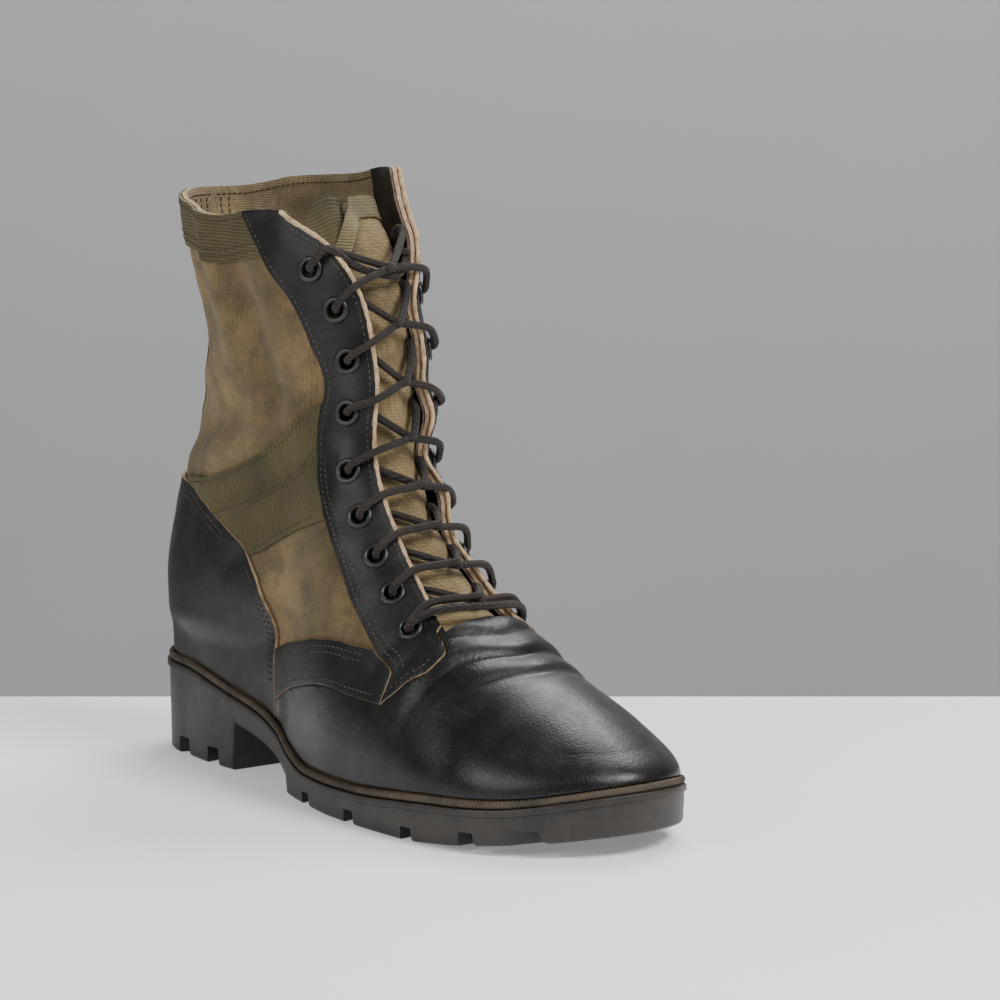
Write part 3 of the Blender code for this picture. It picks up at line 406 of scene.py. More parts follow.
def zero_shares(edges, values, field):
    """Where a field is zero along each edge that it changes sign on."""
    if not edges:
        return []
    start = np.array([edge.verts[0].co for edge in edges])
    end = np.array([edge.verts[1].co for edge in edges])
    sign = np.sign([values[edge.verts[0]] for edge in edges])
    low, high = np.zeros(len(edges)), np.ones(len(edges))
    for _ in range(24):
        middle = (low + high) / 2
        places = start + (end - start) * middle[:, None]
        same = field(places[:, 0], places[:, 1], places[:, 2]) * sign > 0
        low, high = np.where(same, middle, low), np.where(same, high, middle)
    return [float(share) for share in (low + high) / 2]


def split(mesh, field):
    """Cuts a sheet along a field's zero line and leaves both sides."""
    verts = list(mesh.verts)
    places = np.array([vert.co for vert in verts])
    values = dict(zip(verts, field(places[:, 0], places[:, 1], places[:, 2])))
    near_line = 0.0001
    for vert in verts:
        if abs(values[vert]) < near_line:
            values[vert] = 0.0
    crossed = [edge for edge in mesh.edges
               if values[edge.verts[0]] * values[edge.verts[1]] < 0]
    for edge, share in zip(crossed, zero_shares(crossed, values, field)):
        _, new = bmesh.utils.edge_split(edge, edge.verts[0], share)
        values[new] = 0.0
    line = [vert for vert, value in values.items() if value == 0.0]
    bmesh.ops.connect_verts(mesh, verts=line)


def clip(mesh, *fields):
    """Keeps the parts of a sheet where any of the fields is negative."""
    for field in fields:
        split(mesh, field)
    faces = list(mesh.faces)
    centres = np.array([face.calc_center_median() for face in faces])
    values = np.min([field(*centres.T) for field in fields], axis=0)
    outside = [face for face, value in zip(faces, values) if value > 0]
    bmesh.ops.delete(mesh, geom=outside, context="FACES")


def above(table):
    """Distance above a panel edge that is given as height over length."""
    def field(x, y, z):
        step = 0.0001
        height, before, after = [smooth(table, 1, (x + shift) / SOLE_LENGTH) * SHAFT_HEIGHT
                                 for shift in (0, -step, step)]
        return (z - height) / np.hypot(1, (after - before) / (2 * step))
    return field


def ahead(table):
    """Distance in front of a panel edge that is given as length over height."""
    def field(x, y, z):
        step = 0.0001
        length, below, over = [smooth(table, 1, (z + shift) / SHAFT_HEIGHT) * SOLE_LENGTH
                               for shift in (0, -step, step)]
        return (x - length) / np.hypot(1, (over - below) / (2 * step))
    return field


def beyond(field, gap=0.0):
    """Keeps what lies on the positive side of a field, a gap away from it."""
    return lambda x, y, z: gap - field(x, y, z)


OVER_COUNTER = above(COUNTER_TOP)
AHEAD_OF_COUNTER = ahead(COUNTER_FRONT)
OVER_BAND_FOOT = above(BAND_FOOT)
OVER_CANVAS_FOOT = above(CANVAS_FOOT)
OVER_WEBBING_TOP = above(WEBBING_TOP)
OVER_WEBBING_FOOT = above(WEBBING_FOOT)
AHEAD_OF_EYESTAY_REAR = ahead(EYESTAY_REAR)
AHEAD_OF_TAB = ahead(TAB_FRONT)


def collar_z(x, y):
    """Height of the collar's edge."""
    return np.where(y < 0, smooth(COLLAR, 1, x / SOLE_LENGTH),
                    smooth(COLLAR, 2, x / SOLE_LENGTH)) * SHAFT_HEIGHT


def below_welt(x, y, z):
    return rim_z(x) + WELT_HEIGHT + WELT_CLEAR - z


def behind_eyestay(x, y, z):
    return AHEAD_OF_EYESTAY_REAR(x, y, z) + SEAM_GAP


def unit(vectors):
    return vectors / np.linalg.norm(vectors, axis=-1, keepdims=True)


def bridge(mesh, rows, around=False):
    """Quads between each row of verts and the next; around also closes each row on itself."""
    for row, after in zip(rows[:-1], rows[1:]):
        for j in range(len(row) if around else len(row) - 1):
            k = (j + 1) % len(row)
            mesh.faces.new([row[j], row[k], after[k], after[j]])


def bridge_tube(mesh, rings):
    """A tube's wall and its two flat ends."""
    bridge(mesh, rings, around=True)
    mesh.faces.new(rings[0][::-1])
    mesh.faces.new(rings[-1])


def close_round(mesh, sections):
    """Joins sections all the way round and leaves no loose points."""
    bridge(mesh, sections + sections[:1], around=True)
    spare = [vert for vert in mesh.verts if not vert.link_faces]
    bmesh.ops.delete(mesh, geom=spare, context="VERTS")
    bmesh.ops.recalc_face_normals(mesh, faces=mesh.faces)


def link_mesh(name, mesh):
    """Turns a bmesh into an object of the scene."""
    data = bpy.data.meshes.new(name)
    mesh.to_mesh(data)
    mesh.free()
    made = bpy.data.objects.new(name, data)
    bpy.context.scene.collection.objects.link(made)
    return made


def cut_by(piece, cutter):
    """Subtracts a cutter and leaves the cut as the piece's own mesh."""
    made = piece.modifiers.new("cut", "BOOLEAN")
    made.operation, made.solver, made.object = "DIFFERENCE", "EXACT", cutter
    bpy.context.view_layer.update()
    graph = bpy.context.evaluated_depsgraph_get()
    cut = bpy.data.meshes.new_from_object(piece.evaluated_get(graph))
    piece.modifiers.clear()
    piece.data = cut
    return cut


def eyelet_seats(side):
    """Points on the throat's edge, eyelet centres and normals, from the lowest up."""
    throat = top_line(side)[2]
    shares = smooth(EYELET_STOPS, 1, np.linspace(0, 1, EYELET_COUNT))
    edges = spaced(throat, shares)
    ahead = spaced(throat, shares + 0.01)
    normals = unit(form_gradient(edges))
    away = unit(np.cross(normals, ahead - edges)) * side
    away *= np.sign((away[:, 1] * side).mean())
    centres = settle(edges + away * EYELET_INSET)
    return edges, normals, centres, unit(form_gradient(centres))


def smooth_route(points, per_span):
    """A smooth curve through a few points, as a list of points."""
    points = [Vector(p) for p in points]
    padded = [points[0] * 2 - points[1]] + points + [points[-1] * 2 - points[-2]]
    route = []
    for a, b, c, d in zip(padded, padded[1:], padded[2:], padded[3:]):
        for step in range(per_span):
            t = step / per_span
            route.append(0.5 * (2 * b + (c - a) * t + (2 * a - 5 * b + 4 * c - d) * t * t
                                + (3 * b - 3 * c + d - a) * t ** 3))
    return route + [points[-1]]


def over_front(level):
    """Point in the middle of the throat on the form, and its normal."""
    start = np.array([[INSIDE_X, 0.0, level]])
    point = reach(start, (1, 0, 0), RAY)
    return point[0], unit(form_gradient(point))[0]


def tongue_line():
    """Middle of the tongue's front: under the vamp, up the instep, up the shaft's front."""
    turn_x = 0.60 * SOLE_LENGTH
    x = np.linspace(TONGUE_FOOT * SOLE_LENGTH, turn_x, 30)
    low = reach(np.stack([x, centre_y(x), rim_z(x) + 0.01], -1), (0, 0, 1), RAY)
    z = np.linspace(low[-1, 2], TONGUE_TOP * SHAFT_HEIGHT, 80)[1:]
    starts = np.stack([np.full_like(z, INSIDE_X), np.zeros_like(z), z], -1)
    return np.concatenate([low, reach(starts, (1, 0, 0), RAY)])


def tread_z(share):
    """Underside of heel, shank and forefoot."""
    if share <= BREAST:
        return 0.0
    if share <= TREAD_BACK:
        return float(rim_z(share * SOLE_LENGTH)) - BAND
    return float(smooth(TREAD, 1, share)) * SOLE_RISE


def groove(mesh, centre, width, length, depth, sweep, side):
    """One tapered bar for a gap between lugs, from outside the edge towards the middle."""
    flare = 1.5
    made = bmesh.ops.create_cube(mesh, size=1.0)["verts"]
    for vert in made:
        spread = flare if vert.co.z < 0 else 1.0
        vert.co = Vector((vert.co.x * width * spread, vert.co.y * length, vert.co.z * depth * 2))
    turn = Matrix.Rotation(math.radians(-side * sweep), 4, "Z")
    bmesh.ops.transform(mesh, matrix=Matrix.Translation(centre) @ turn, verts=made)


def ring_strip(profile, count):
    """A closed strip along the sole's edge: profile of inset and height over the rim."""
    mesh = bmesh.new()
    sections = []
    shares = np.linspace(0, 1, count + 1)
    for side in (LATERAL, MEDIAL):
        lines = [spaced(feather_line(side, inset, lift), shares) for inset, lift in profile]
        half = [[mesh.verts.new(line[i]) for line in lines] for i in range(count + 1)]
        if side == LATERAL:
            sections += half
        else:
            sections += half[::-1][1:-1]
    close_round(mesh, sections)
    return mesh


# Soft troughs and ridges of the cloth and leather: side, share of the length, share of the
# height, tilt in degrees, half length, half width and depth in millimetres
FOLDS = [
    (LATERAL, 0.130, 0.75, 84, 40, 9, -3.4), (LATERAL, 0.215, 0.80, 108, 44, 8, 2.8),
    (LATERAL, 0.300, 0.74, 110, 38, 7, -2.2), (LATERAL, 0.215, 0.605, 20, 46, 6, -3.0),
    (LATERAL, 0.110, 0.665, 8, 26, 8, 1.8), (LATERAL, 0.180, 0.545, 14, 34, 8, 2.2),
    (LATERAL, 0.310, 0.500, 20, 32, 5, -1.6), (LATERAL, 0.385, 0.350, 28, 30, 7, 1.7),
    (LATERAL, 0.410, 0.290, 30, 28, 6, -1.5), (LATERAL, 0.345, 0.860, 75, 22, 8, 1.4),
    (LATERAL, 0.370, 0.640, 65, 26, 7, 1.5), (LATERAL, 0.300, 0.400, 35, 22, 6, -1.1),
    (MEDIAL, 0.150, 0.74, 98, 42, 9, -3.0), (MEDIAL, 0.250, 0.77, 76, 42, 8, 2.5),
    (MEDIAL, 0.340, 0.72, 84, 34, 7, -1.9), (MEDIAL, 0.230, 0.605, 14, 46, 6, -2.8),
    (MEDIAL, 0.180, 0.540, 8, 36, 8, 2.0), (MEDIAL, 0.310, 0.490, 16, 30, 5, -1.6),
    (MEDIAL, 0.395, 0.340, 26, 32, 7, 1.5), (MEDIAL, 0.100, 0.640, -6, 20, 7, -1.8),
    (MEDIAL, 0.370, 0.840, 80, 24, 8, -1.4), (MEDIAL, 0.330, 0.400, 30, 26, 6, -1.2)]


# Creases where the ball bends: share of the length on the ridge, sweep back per metre outwards,
# half width and depth in millimetres, reach down the sides in millimetres
CREASES = [
    (0.716, 0.45, 2.0, -0.9, 34), (0.737, 0.38, 1.7, 0.6, 32), (0.752, 0.34, 2.0, -1.1, 36),
    (0.772, 0.30, 1.8, 0.5, 30), (0.788, 0.28, 2.2, -0.8, 26), (0.690, 0.55, 2.2, -0.5, 40)]


# Waves of the flaps' free edges: side, share of the height, half width, lift in millimetres
FLAP_WAVES = [
    (MEDIAL, 0.90, 12, 2.2), (MEDIAL, 0.80, 9, -1.8), (MEDIAL, 0.72, 9, 1.4),
    (MEDIAL, 0.625, 8, 3.4), (MEDIAL, 0.560, 7, -2.0), (MEDIAL, 0.490, 8, 3.0),
    (MEDIAL, 0.425, 7, -1.6), (LATERAL, 0.86, 10, 1.2), (LATERAL, 0.76, 9, -1.0),
    (LATERAL, 0.66, 9, 1.6), (LATERAL, 0.585, 8, -1.6), (LATERAL, 0.50, 9, 1.2),
    (LATERAL, 0.42, 8, -0.8)]
FLAP_BAND = 0.009
MILLIMETRE = 0.001
FOLD_GAIN = 1.35
RIDGE_ROUND = 0.007
FACING = 0.0010


def relief(points):
    """How far creases and folds lift the surface, in metres, at points on the form."""
    x, y, z = points[..., 0], points[..., 1], points[..., 2]
    lift = np.zeros_like(x)
    for side, at, level, tilt, length, width, depth in FOLDS:
        turn = math.radians(tilt)
        dx, dz = x - at * SOLE_LENGTH, z - level * SHAFT_HEIGHT
        along = (dx * math.cos(turn) + dz * math.sin(turn)) / (length * MILLIMETRE)
        across = (dz * math.cos(turn) - dx * math.sin(turn)) / (width * MILLIMETRE)
        near = 1 / (1 + np.exp(-side * y / 0.003))
        lift += FOLD_GAIN * depth * MILLIMETRE * near * np.exp(-along ** 2 - across ** 2)
    out = np.sqrt((y - centre_y(x)) ** 2 + RIDGE_ROUND ** 2) - RIDGE_ROUND
    for at, sweep, width, depth, down in CREASES:
        across = (x - at * SOLE_LENGTH + sweep * out) / (width * MILLIMETRE)
        fade = np.exp(-(out / (down * MILLIMETRE)) ** 4)
        lift += depth * MILLIMETRE * fade * np.exp(-across ** 2)
    for side, level, width, rise in FLAP_WAVES:
        edge = np.abs(side * y - throat_half(z / SHAFT_HEIGHT, side)) / FLAP_BAND
        front = 1 / (1 + np.exp((0.29 * SOLE_LENGTH - x) / 0.004 - side * y / 0.002))
        near = np.exp(-edge ** 2) * front * (side * y > 0)
        along = (z - level * SHAFT_HEIGHT) / (width * MILLIMETRE)
        lift += rise * MILLIMETRE * near * np.exp(-along ** 2)
    ripple = (np.sin(x * 310 + 3 * np.sin(z * 90)) * np.sin(z * 260 + 2 * np.sin(x * 120))
              + 0.6 * np.sin(x * 150 + z * 210 + 2 * y * 100))
    shaft = np.clip((z / SHAFT_HEIGHT - 0.25) / 0.2, 0, 1)
    edge_hold = np.clip((z - 0.002 - rim_z(x)) / 0.012, 0, 1)
    return (lift + ripple * 0.00022 * shaft) * edge_hold


def hug(points, lift):
    """Points moved onto the creased surface, a height above it."""
    points = settle(points)
    return points + unit(form_gradient(points)) * (lift + relief(points))[..., None]


def new_object(name, mesh, finishes, smooth_angle=40):
    """A piece from a bmesh in the form's lengths, set back with the frame."""
    bmesh.ops.translate(mesh, verts=mesh.verts, vec=(-HEEL_REST_X, 0, 0))
    made = link_mesh(name, mesh)
    for finish in finishes:
        made.data.materials.append(finish)
    made.data.shade_smooth()
    made.data.set_sharp_from_angle(angle=math.radians(smooth_angle))
    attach(made, "root")
    return made


def declare(made, slot, *nodes):
    """Hides the imported nodes that a piece stands for and returns the piece; the slot is not
    used.
    """
    if nodes:
        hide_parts(*nodes)
    return made


GRIDS = {side: rib_points(side) for side in (LATERAL, MEDIAL)}


def base_sheet(sides=(LATERAL, MEDIAL)):
    """The upper's smooth outer surface as one open sheet."""
    mesh = bmesh.new()
    for side in sides:
        rows = [[mesh.verts.new(point) for point in rib] for rib in GRIDS[side]]
        for rib, after in zip(rows[:-1], rows[1:]):
            for low in range(ROWS):
                quad = [rib[low], rib[low + 1], after[low + 1], after[low]]
                mesh.faces.new(quad if side == LATERAL else quad[::-1])
    bmesh.ops.remove_doubles(mesh, verts=mesh.verts, dist=1e-6)
    return mesh


def raise_sheet(mesh, offset):
    """Moves a sheet's points out along the form's normals, onto the creased surface."""
    places = np.array([vert.co for vert in mesh.verts])
    slopes = unit(form_gradient(places))
    moved = places + slopes * (offset + relief(places))[:, None]
    for vert, place in zip(mesh.verts, moved):
        vert.co = place
    mesh.normal_update()


def wall(piece, thickness, outward, inner_slot=0, rim_slot=1, bevel=0.00035):
    """Gives a sheet its wall and softens the cut edges."""
    shell = piece.modifiers.new("wall", "SOLIDIFY")
    shell.thickness = thickness
    shell.offset = 1.0 if outward else -1.0
    shell.material_offset = inner_slot
    shell.material_offset_rim = rim_slot
    if bevel:
        soft = piece.modifiers.new("soft_edge", "BEVEL")
        soft.width = bevel
        soft.segments = 2
        soft.limit_method = "ANGLE"
        soft.angle_limit = math.radians(60)
    return piece


def panel(name, fields, thickness, finish, slot, lift=PANEL_GAP, sides=(LATERAL, MEDIAL)):
    """An overlay with its own wall and cut edge, over the creased upper."""
    sheet = base_sheet(sides)
    for field in fields:
        clip(sheet, *(field if isinstance(field, tuple) else (field,)))
    raise_sheet(sheet, lift)
    piece = new_object(name + "_dressed", sheet, finish)
    wall(piece, thickness, outward=True)
    return declare(piece, slot, name)


# Materials
def nodes_of(name):
    """A new material: itself, its node tree, its shader and the place on the object."""
    made = bpy.data.materials.new(name)
    made.use_nodes = True
    tree = made.node_tree
    shader = tree.nodes["Principled BSDF"]
    spot = tree.nodes.new("ShaderNodeTexCoord")
    return made, tree, shader, spot.outputs["Object"]


def noise(tree, spot, scale, detail=3.0, stretch=(1, 1, 1), rough=0.55):
    mapped = tree.nodes.new("ShaderNodeMapping")
    mapped.inputs["Scale"].default_value = stretch
    tree.links.new(spot, mapped.inputs["Vector"])
    made = tree.nodes.new("ShaderNodeTexNoise")
    made.inputs["Scale"].default_value = scale
    made.inputs["Detail"].default_value = detail
    made.inputs["Roughness"].default_value = rough
    tree.links.new(mapped.outputs["Vector"], made.inputs["Vector"])
    return made.outputs["Fac"]


def wave(tree, spot, scale, turn, distortion=0.6):
    mapped = tree.nodes.new("ShaderNodeMapping")
    mapped.inputs["Rotation"].default_value = turn
    tree.links.new(spot, mapped.inputs["Vector"])
    made = tree.nodes.new("ShaderNodeTexWave")
    made.inputs["Scale"].default_value = scale
    made.inputs["Distortion"].default_value = distortion
    made.inputs["Detail"].default_value = 1.0
    made.inputs["Detail Scale"].default_value = 2.0
    tree.links.new(mapped.outputs["Vector"], made.inputs["Vector"])
    return made.outputs["Fac"]


def ramp(tree, value, stops):
    made = tree.nodes.new("ShaderNodeValToRGB")
    line = made.color_ramp
    while len(line.elements) < len(stops):
        line.elements.new(0.5)
    for element, (at, colour) in zip(line.elements, stops):
        element.position = at
        element.color = (*colour, 1.0) if len(colour) == 3 else (colour[0],) * 3 + (1.0,)
    tree.links.new(value, made.inputs["Fac"])
    return made.outputs["Color"]


def fill(tree, sockets, values):
    """Sets each socket to a number or colour, or links it to another node's output."""
    for socket, value in zip(sockets, values):
        if isinstance(value, (int, float)):
            socket.default_value = value
        elif isinstance(value, tuple):
            socket.default_value = (*value, 1.0)
        else:
            tree.links.new(value, socket)


def mix(tree, share, first, second, blend="MIX"):
    made = tree.nodes.new("ShaderNodeMix")
    made.data_type = "RGBA"
    made.blend_type = blend
    fill(tree, [s for s in made.inputs if s.enabled], (share, first, second))
    return [s for s in made.outputs if s.enabled][0]


def math_node(tree, operation, first, second):
    made = tree.nodes.new("ShaderNodeMath")
    made.operation = operation
    fill(tree, made.inputs, (first, second))
    return made.outputs[0]


def bump(tree, shader, layers):
    """Stacks height layers: (height output, strength, distance in metres)."""
    below = None
    for height, strength, distance in layers:
        made = tree.nodes.new("ShaderNodeBump")
        made.inputs["Strength"].default_value = strength
        made.inputs["Distance"].default_value = distance
        tree.links.new(height, made.inputs["Height"])
        if below:
            tree.links.new(below, made.inputs["Normal"])
        below = made.outputs["Normal"]
    tree.links.new(below, shader.inputs["Normal"])


def canvas(name, dark, light, grime, pitch=0.0010, fuzz=0.08):
    """Plain cotton weave with faded and dirty clouds."""
    made, tree, shader, spot = nodes_of(name)
    scale = 0.314 / pitch
    warp = wave(tree, spot, scale, (0, math.radians(90), 0))
    weft = wave(tree, spot, scale * 0.8, (0, 0, math.radians(38)))
    weave = math_node(tree, "MULTIPLY", warp, weft)
    clouds = noise(tree, spot, 22, 4)
    patches = noise(tree, spot, 60, 5, rough=0.7)
    threads = noise(tree, spot, 900, 2)
    tone = ramp(tree, clouds, [(0.30, dark), (0.70, light)])
    tone = mix(tree, ramp(tree, patches, [(0.45, (0.0,)), (0.72, (0.8,))]), tone, grime)
    tone = mix(tree, 0.55, tone, ramp(tree, weave, [(0.0, (0.55,)), (0.55, (1.15,))]),
               "MULTIPLY")
    tone = mix(tree, 0.5, tone, ramp(tree, threads, [(0.3, (0.75,)), (0.7, (1.2,))]), "MULTIPLY")
    tree.links.new(tone, shader.inputs["Base Color"])
    shader.inputs["Roughness"].default_value = 0.92
    shader.inputs["Sheen Weight"].default_value = fuzz
    shader.inputs["Sheen Roughness"].default_value = 0.6
    bump(tree, shader, [(patches, 0.25, 0.0006), (weave, 0.7, 0.0003), (threads, 0.3, 0.0002)])
    return made


def webbing(name, dark, light, turn, pitch=0.0016):
    """Ribbed woven tape."""
    made, tree, shader, spot = nodes_of(name)
    ribs = wave(tree, spot, 0.314 / pitch, turn, 0.3)
    cross = noise(tree, spot, 1100, 2)
    clouds = noise(tree, spot, 30, 4)
    tone = ramp(tree, clouds, [(0.3, dark), (0.7, light)])
    tone = mix(tree, 0.5, tone, ramp(tree, ribs, [(0.0, (0.6,)), (0.5, (1.1,))]), "MULTIPLY")
    tone = mix(tree, 0.5, tone, ramp(tree, cross, [(0.3, (0.75,)), (0.7, (1.2,))]), "MULTIPLY")
    tree.links.new(tone, shader.inputs["Base Color"])
    shader.inputs["Roughness"].default_value = 0.85
    shader.inputs["Sheen Weight"].default_value = 0.05
    bump(tree, shader, [(ribs, 0.8, 0.0004), (cross, 0.4, 0.0002)])
    return made


def leather(name, base, scuff_and_highlight, rough=0.42, scuff_and_highlight_share=0.5):
    """Worn black leather: grain, soft sheen, and a grey-brown scuff colour in random streaky
    patches that is partly real rubs and scuffs and partly painted streaky highlights.
    """
    made, tree, shader, spot = nodes_of(name)
    grain = tree.nodes.new("ShaderNodeTexVoronoi")
    grain.inputs["Scale"].default_value = 900
    tree.links.new(spot, grain.inputs["Vector"])
    cells = grain.outputs["Distance"]
    rubs = noise(tree, spot, 45, 6, rough=0.72)
    streaks = noise(tree, spot, 120, 4, stretch=(1, 1, 3.0), rough=0.75)
    mottle = noise(tree, spot, 320, 3)
    # Mask from rubs and streaks: the lighter grey-brown it lays on is partly real scuffing and
    # partly painted highlight streaks
    wear_and_highlight = math_node(tree, "MULTIPLY", rubs, streaks)
    mask = ramp(tree, wear_and_highlight, [(0.26, (0.0,)), (0.48, (scuff_and_highlight_share,))])
    tone = mix(tree, mask, base, scuff_and_highlight)
    tone = mix(tree, 0.35, tone, ramp(tree, mottle, [(0.3, (0.7,)), (0.7, (1.3,))]), "MULTIPLY")
    tree.links.new(tone, shader.inputs["Base Color"])
    level = ramp(tree, rubs, [(0.3, (rough - 0.07,)), (0.7, (rough + 0.16,))])
    tree.links.new(level, shader.inputs["Roughness"])
    shader.inputs["Specular IOR Level"].default_value = 0.33
    shader.inputs["Coat Weight"].default_value = 0.06
    shader.inputs["Coat Roughness"].default_value = 0.35
    bump(tree, shader, [(rubs, 0.12, 0.0012), (mottle, 0.15, 0.0004), (cells, 0.18, 0.0003)])
    return made


def plain(name, dark, light, rough, scale=150, depth=0.0005, metallic=0.0, coat=0.0):
    """A rough-coloured material with noise in colour and height."""
    made, tree, shader, spot = nodes_of(name)
    clouds = noise(tree, spot, scale, 5, rough=0.7)
    fine = noise(tree, spot, scale * 7, 3)
    tone = ramp(tree, clouds, [(0.3, dark), (0.7, light)])
    tone = mix(tree, 0.4, tone, ramp(tree, fine, [(0.3, (0.7,)), (0.7, (1.25,))]), "MULTIPLY")
    tree.links.new(tone, shader.inputs["Base Color"])
    shader.inputs["Roughness"].default_value = rough
    shader.inputs["Metallic"].default_value = metallic
    shader.inputs["Coat Weight"].default_value = coat
    bump(tree, shader, [(clouds, 0.3, depth), (fine, 0.25, depth * 0.4)])
    return made


CANVAS = canvas("khaki_canvas", (0.090, 0.061, 0.022), (0.270, 0.186, 0.078),
                (0.048, 0.033, 0.014))
LINING = canvas("lining_canvas", (0.14, 0.100, 0.050), (0.33, 0.24, 0.13), (0.080, 0.055, 0.028))
TONGUE_CLOTH = canvas("tongue_canvas", (0.135, 0.098, 0.042), (0.34, 0.245, 0.115),
                      (0.085, 0.06, 0.03), 0.0013)
OLIVE = webbing("olive_webbing", (0.036, 0.029, 0.0075), (0.092, 0.070, 0.022), (0, 0, 0.4))
OLIVE_BAND = webbing("olive_band", (0.036, 0.028, 0.009), (0.098, 0.073, 0.027),
                     (0, math.radians(90), 0), 0.0014)
TAPE = webbing("binding_tape", (0.10, 0.083, 0.038), (0.22, 0.175, 0.088),
               (0, math.radians(90), 0), 0.0012)
# The second colour of each leather is scuff colour that also paints streaky highlights
BLACK_LEATHER = leather("black_leather", (0.0042, 0.0038, 0.0035), (0.038, 0.030, 0.024), 0.42)
VAMP_LEATHER = leather("vamp_leather", (0.0038, 0.0034, 0.0032), (0.034, 0.027, 0.021), 0.33,
                       0.45)
RAW_EDGE = plain("raw_edge", (0.24, 0.155, 0.085), (0.62, 0.45, 0.28), 0.95, 320, 0.0009)
DARK_EDGE = plain("dark_edge", (0.045, 0.034, 0.026), (0.16, 0.12, 0.085), 0.9, 260)
RUBBER = plain("sole_rubber", (0.0060, 0.0050, 0.0042), (0.030, 0.023, 0.017), 0.50, 70, 0.0011)
BEAD = plain("welt_bead", (0.012, 0.009, 0.006), (0.085, 0.058, 0.034), 0.7, 60, 0.0004)
BOARD = plain("insole_board", (0.09, 0.065, 0.04), (0.20, 0.15, 0.10), 0.95, 120)
ENAMEL = plain("black_enamel", (0.004, 0.004, 0.004), (0.010, 0.009, 0.008), 0.40, 200, 0.0001,
               0.0, 0.10)
THREAD_DARK = plain("thread_dark", (0.022, 0.019, 0.016), (0.085, 0.070, 0.055), 0.8, 300)
THREAD_OLIVE = plain("thread_olive", (0.02, 0.016, 0.008), (0.05, 0.04, 0.02), 0.8, 300)
LACE = webbing("lace_braid", (0.0065, 0.0040, 0.0028), (0.024, 0.0150, 0.010),
              (0, 0.7, 0.5), 0.0011)


# Upper and overlays
def make_upper():
    sheet = base_sheet()
    raise_sheet(sheet, 0.0)
    piece = new_object("upper_dressed", sheet, [CANVAS, LINING, RAW_EDGE])
    wall(piece, UPPER_WALL, outward=False, inner_slot=1, rim_slot=2, bevel=0.0003)
    return declare(piece, "canvas", "upper")


def make_facing(word, side):
    """Black leather lining behind the eyelets."""
    sheet = base_sheet((side,))
    clip(sheet, beyond(AHEAD_OF_EYESTAY_REAR))
    clip(sheet, lambda x, y, z: 0.30 * SHAFT_HEIGHT - z)
    raise_sheet(sheet, -UPPER_WALL - GAP - FACING)
    piece = new_object("facing_" + word, sheet, [BLACK_LEATHER, DARK_EDGE])
    wall(piece, FACING, outward=True)
    return declare(piece, "leather")


def make_panels():
    out_of_counter = (beyond(OVER_COUNTER, SEAM_GAP), beyond(AHEAD_OF_COUNTER, SEAM_GAP))
    in_vamp = (lambda x, y, z: OVER_BAND_FOOT(x, y, z) + SEAM_GAP,
               beyond(AHEAD_OF_TAB, SEAM_GAP))
    hide = [BLACK_LEATHER, RAW_EDGE]
    panel("vamp", [below_welt, in_vamp, out_of_counter], LEATHER, [VAMP_LEATHER, DARK_EDGE],
          "leather")
    panel("counter", [below_welt, OVER_COUNTER, AHEAD_OF_COUNTER], LEATHER, hide, "leather")
    for side, word in SIDES:
        panel("side_band_" + word, [out_of_counter, behind_eyestay, beyond(OVER_BAND_FOOT),
                                    OVER_CANVAS_FOOT], LEATHER, hide, "leather", sides=(side,))
        panel("eyestay_" + word, [beyond(AHEAD_OF_EYESTAY_REAR), AHEAD_OF_TAB,
                                  beyond(OVER_BAND_FOOT)], LEATHER, hide, "leather",
              sides=(side,))
        panel("ankle_webbing_" + word, [
            out_of_counter, behind_eyestay, lambda x, y, z: WEBBING_REAR_X - x,
            beyond(OVER_WEBBING_FOOT), OVER_WEBBING_TOP], WEBBING, [OLIVE, OLIVE], "webbing",
              sides=(side,))
        make_facing(word, side)
    panel("backstay", [
        lambda x, y, z: np.abs(y) - BACKSTAY_HALF, lambda x, y, z: x - BACKSTAY_FRONT_X,
        beyond(OVER_WEBBING_TOP, SEAM_GAP), out_of_counter,
        lambda x, y, z: z - collar_z(x, y) + COLLAR_BAND + SEAM_GAP], WEBBING,
        [OLIVE, OLIVE], "webbing")
    panel("collar_band", [
        behind_eyestay, lambda x, y, z: collar_z(x, y) - COLLAR_BAND - z], WEBBING,
        [OLIVE_BAND, TAPE], "webbing")


# Stitches
# Rows of stitches: edge that they follow, from and to share, shift off the edge, and whether
# the edge's table runs over length or over height
LEATHER_STITCHES = [
    (EYESTAY_REAR, 0.245, 0.95, -0.0022, False), (EYESTAY_REAR, 0.245, 0.56, -0.0046, False),
    (COUNTER_FRONT, 0.17, 0.37, 0.0030, False), (COUNTER_FRONT, 0.17, 0.37, 0.0056, False),
    (COUNTER_TOP, 0.09, 0.235, -0.0030, True), (COUNTER_TOP, 0.09, 0.235, -0.0056, True),
    (CANVAS_FOOT, 0.375, 0.60, -0.0026, True), (CANVAS_FOOT, 0.375, 0.60, -0.0050, True),
    (BAND_FOOT, 0.375, 0.64, 0.0026, True), (TAB_FRONT, 0.20, 0.27, 0.0030, False)]
WEBBING_STITCHES = [
    (WEBBING_TOP, 0.12, 0.40, -0.0022, True), (WEBBING_TOP, 0.12, 0.41, -0.0160, True),
    (WEBBING_TOP, 0.26, 0.42, -0.0180, True), (WEBBING_FOOT, 0.30, 0.44, 0.0022, True)]
INSIDE_STITCHES_Y = (-0.0125, -0.0085, -0.0045, 0.0035, 0.0075)


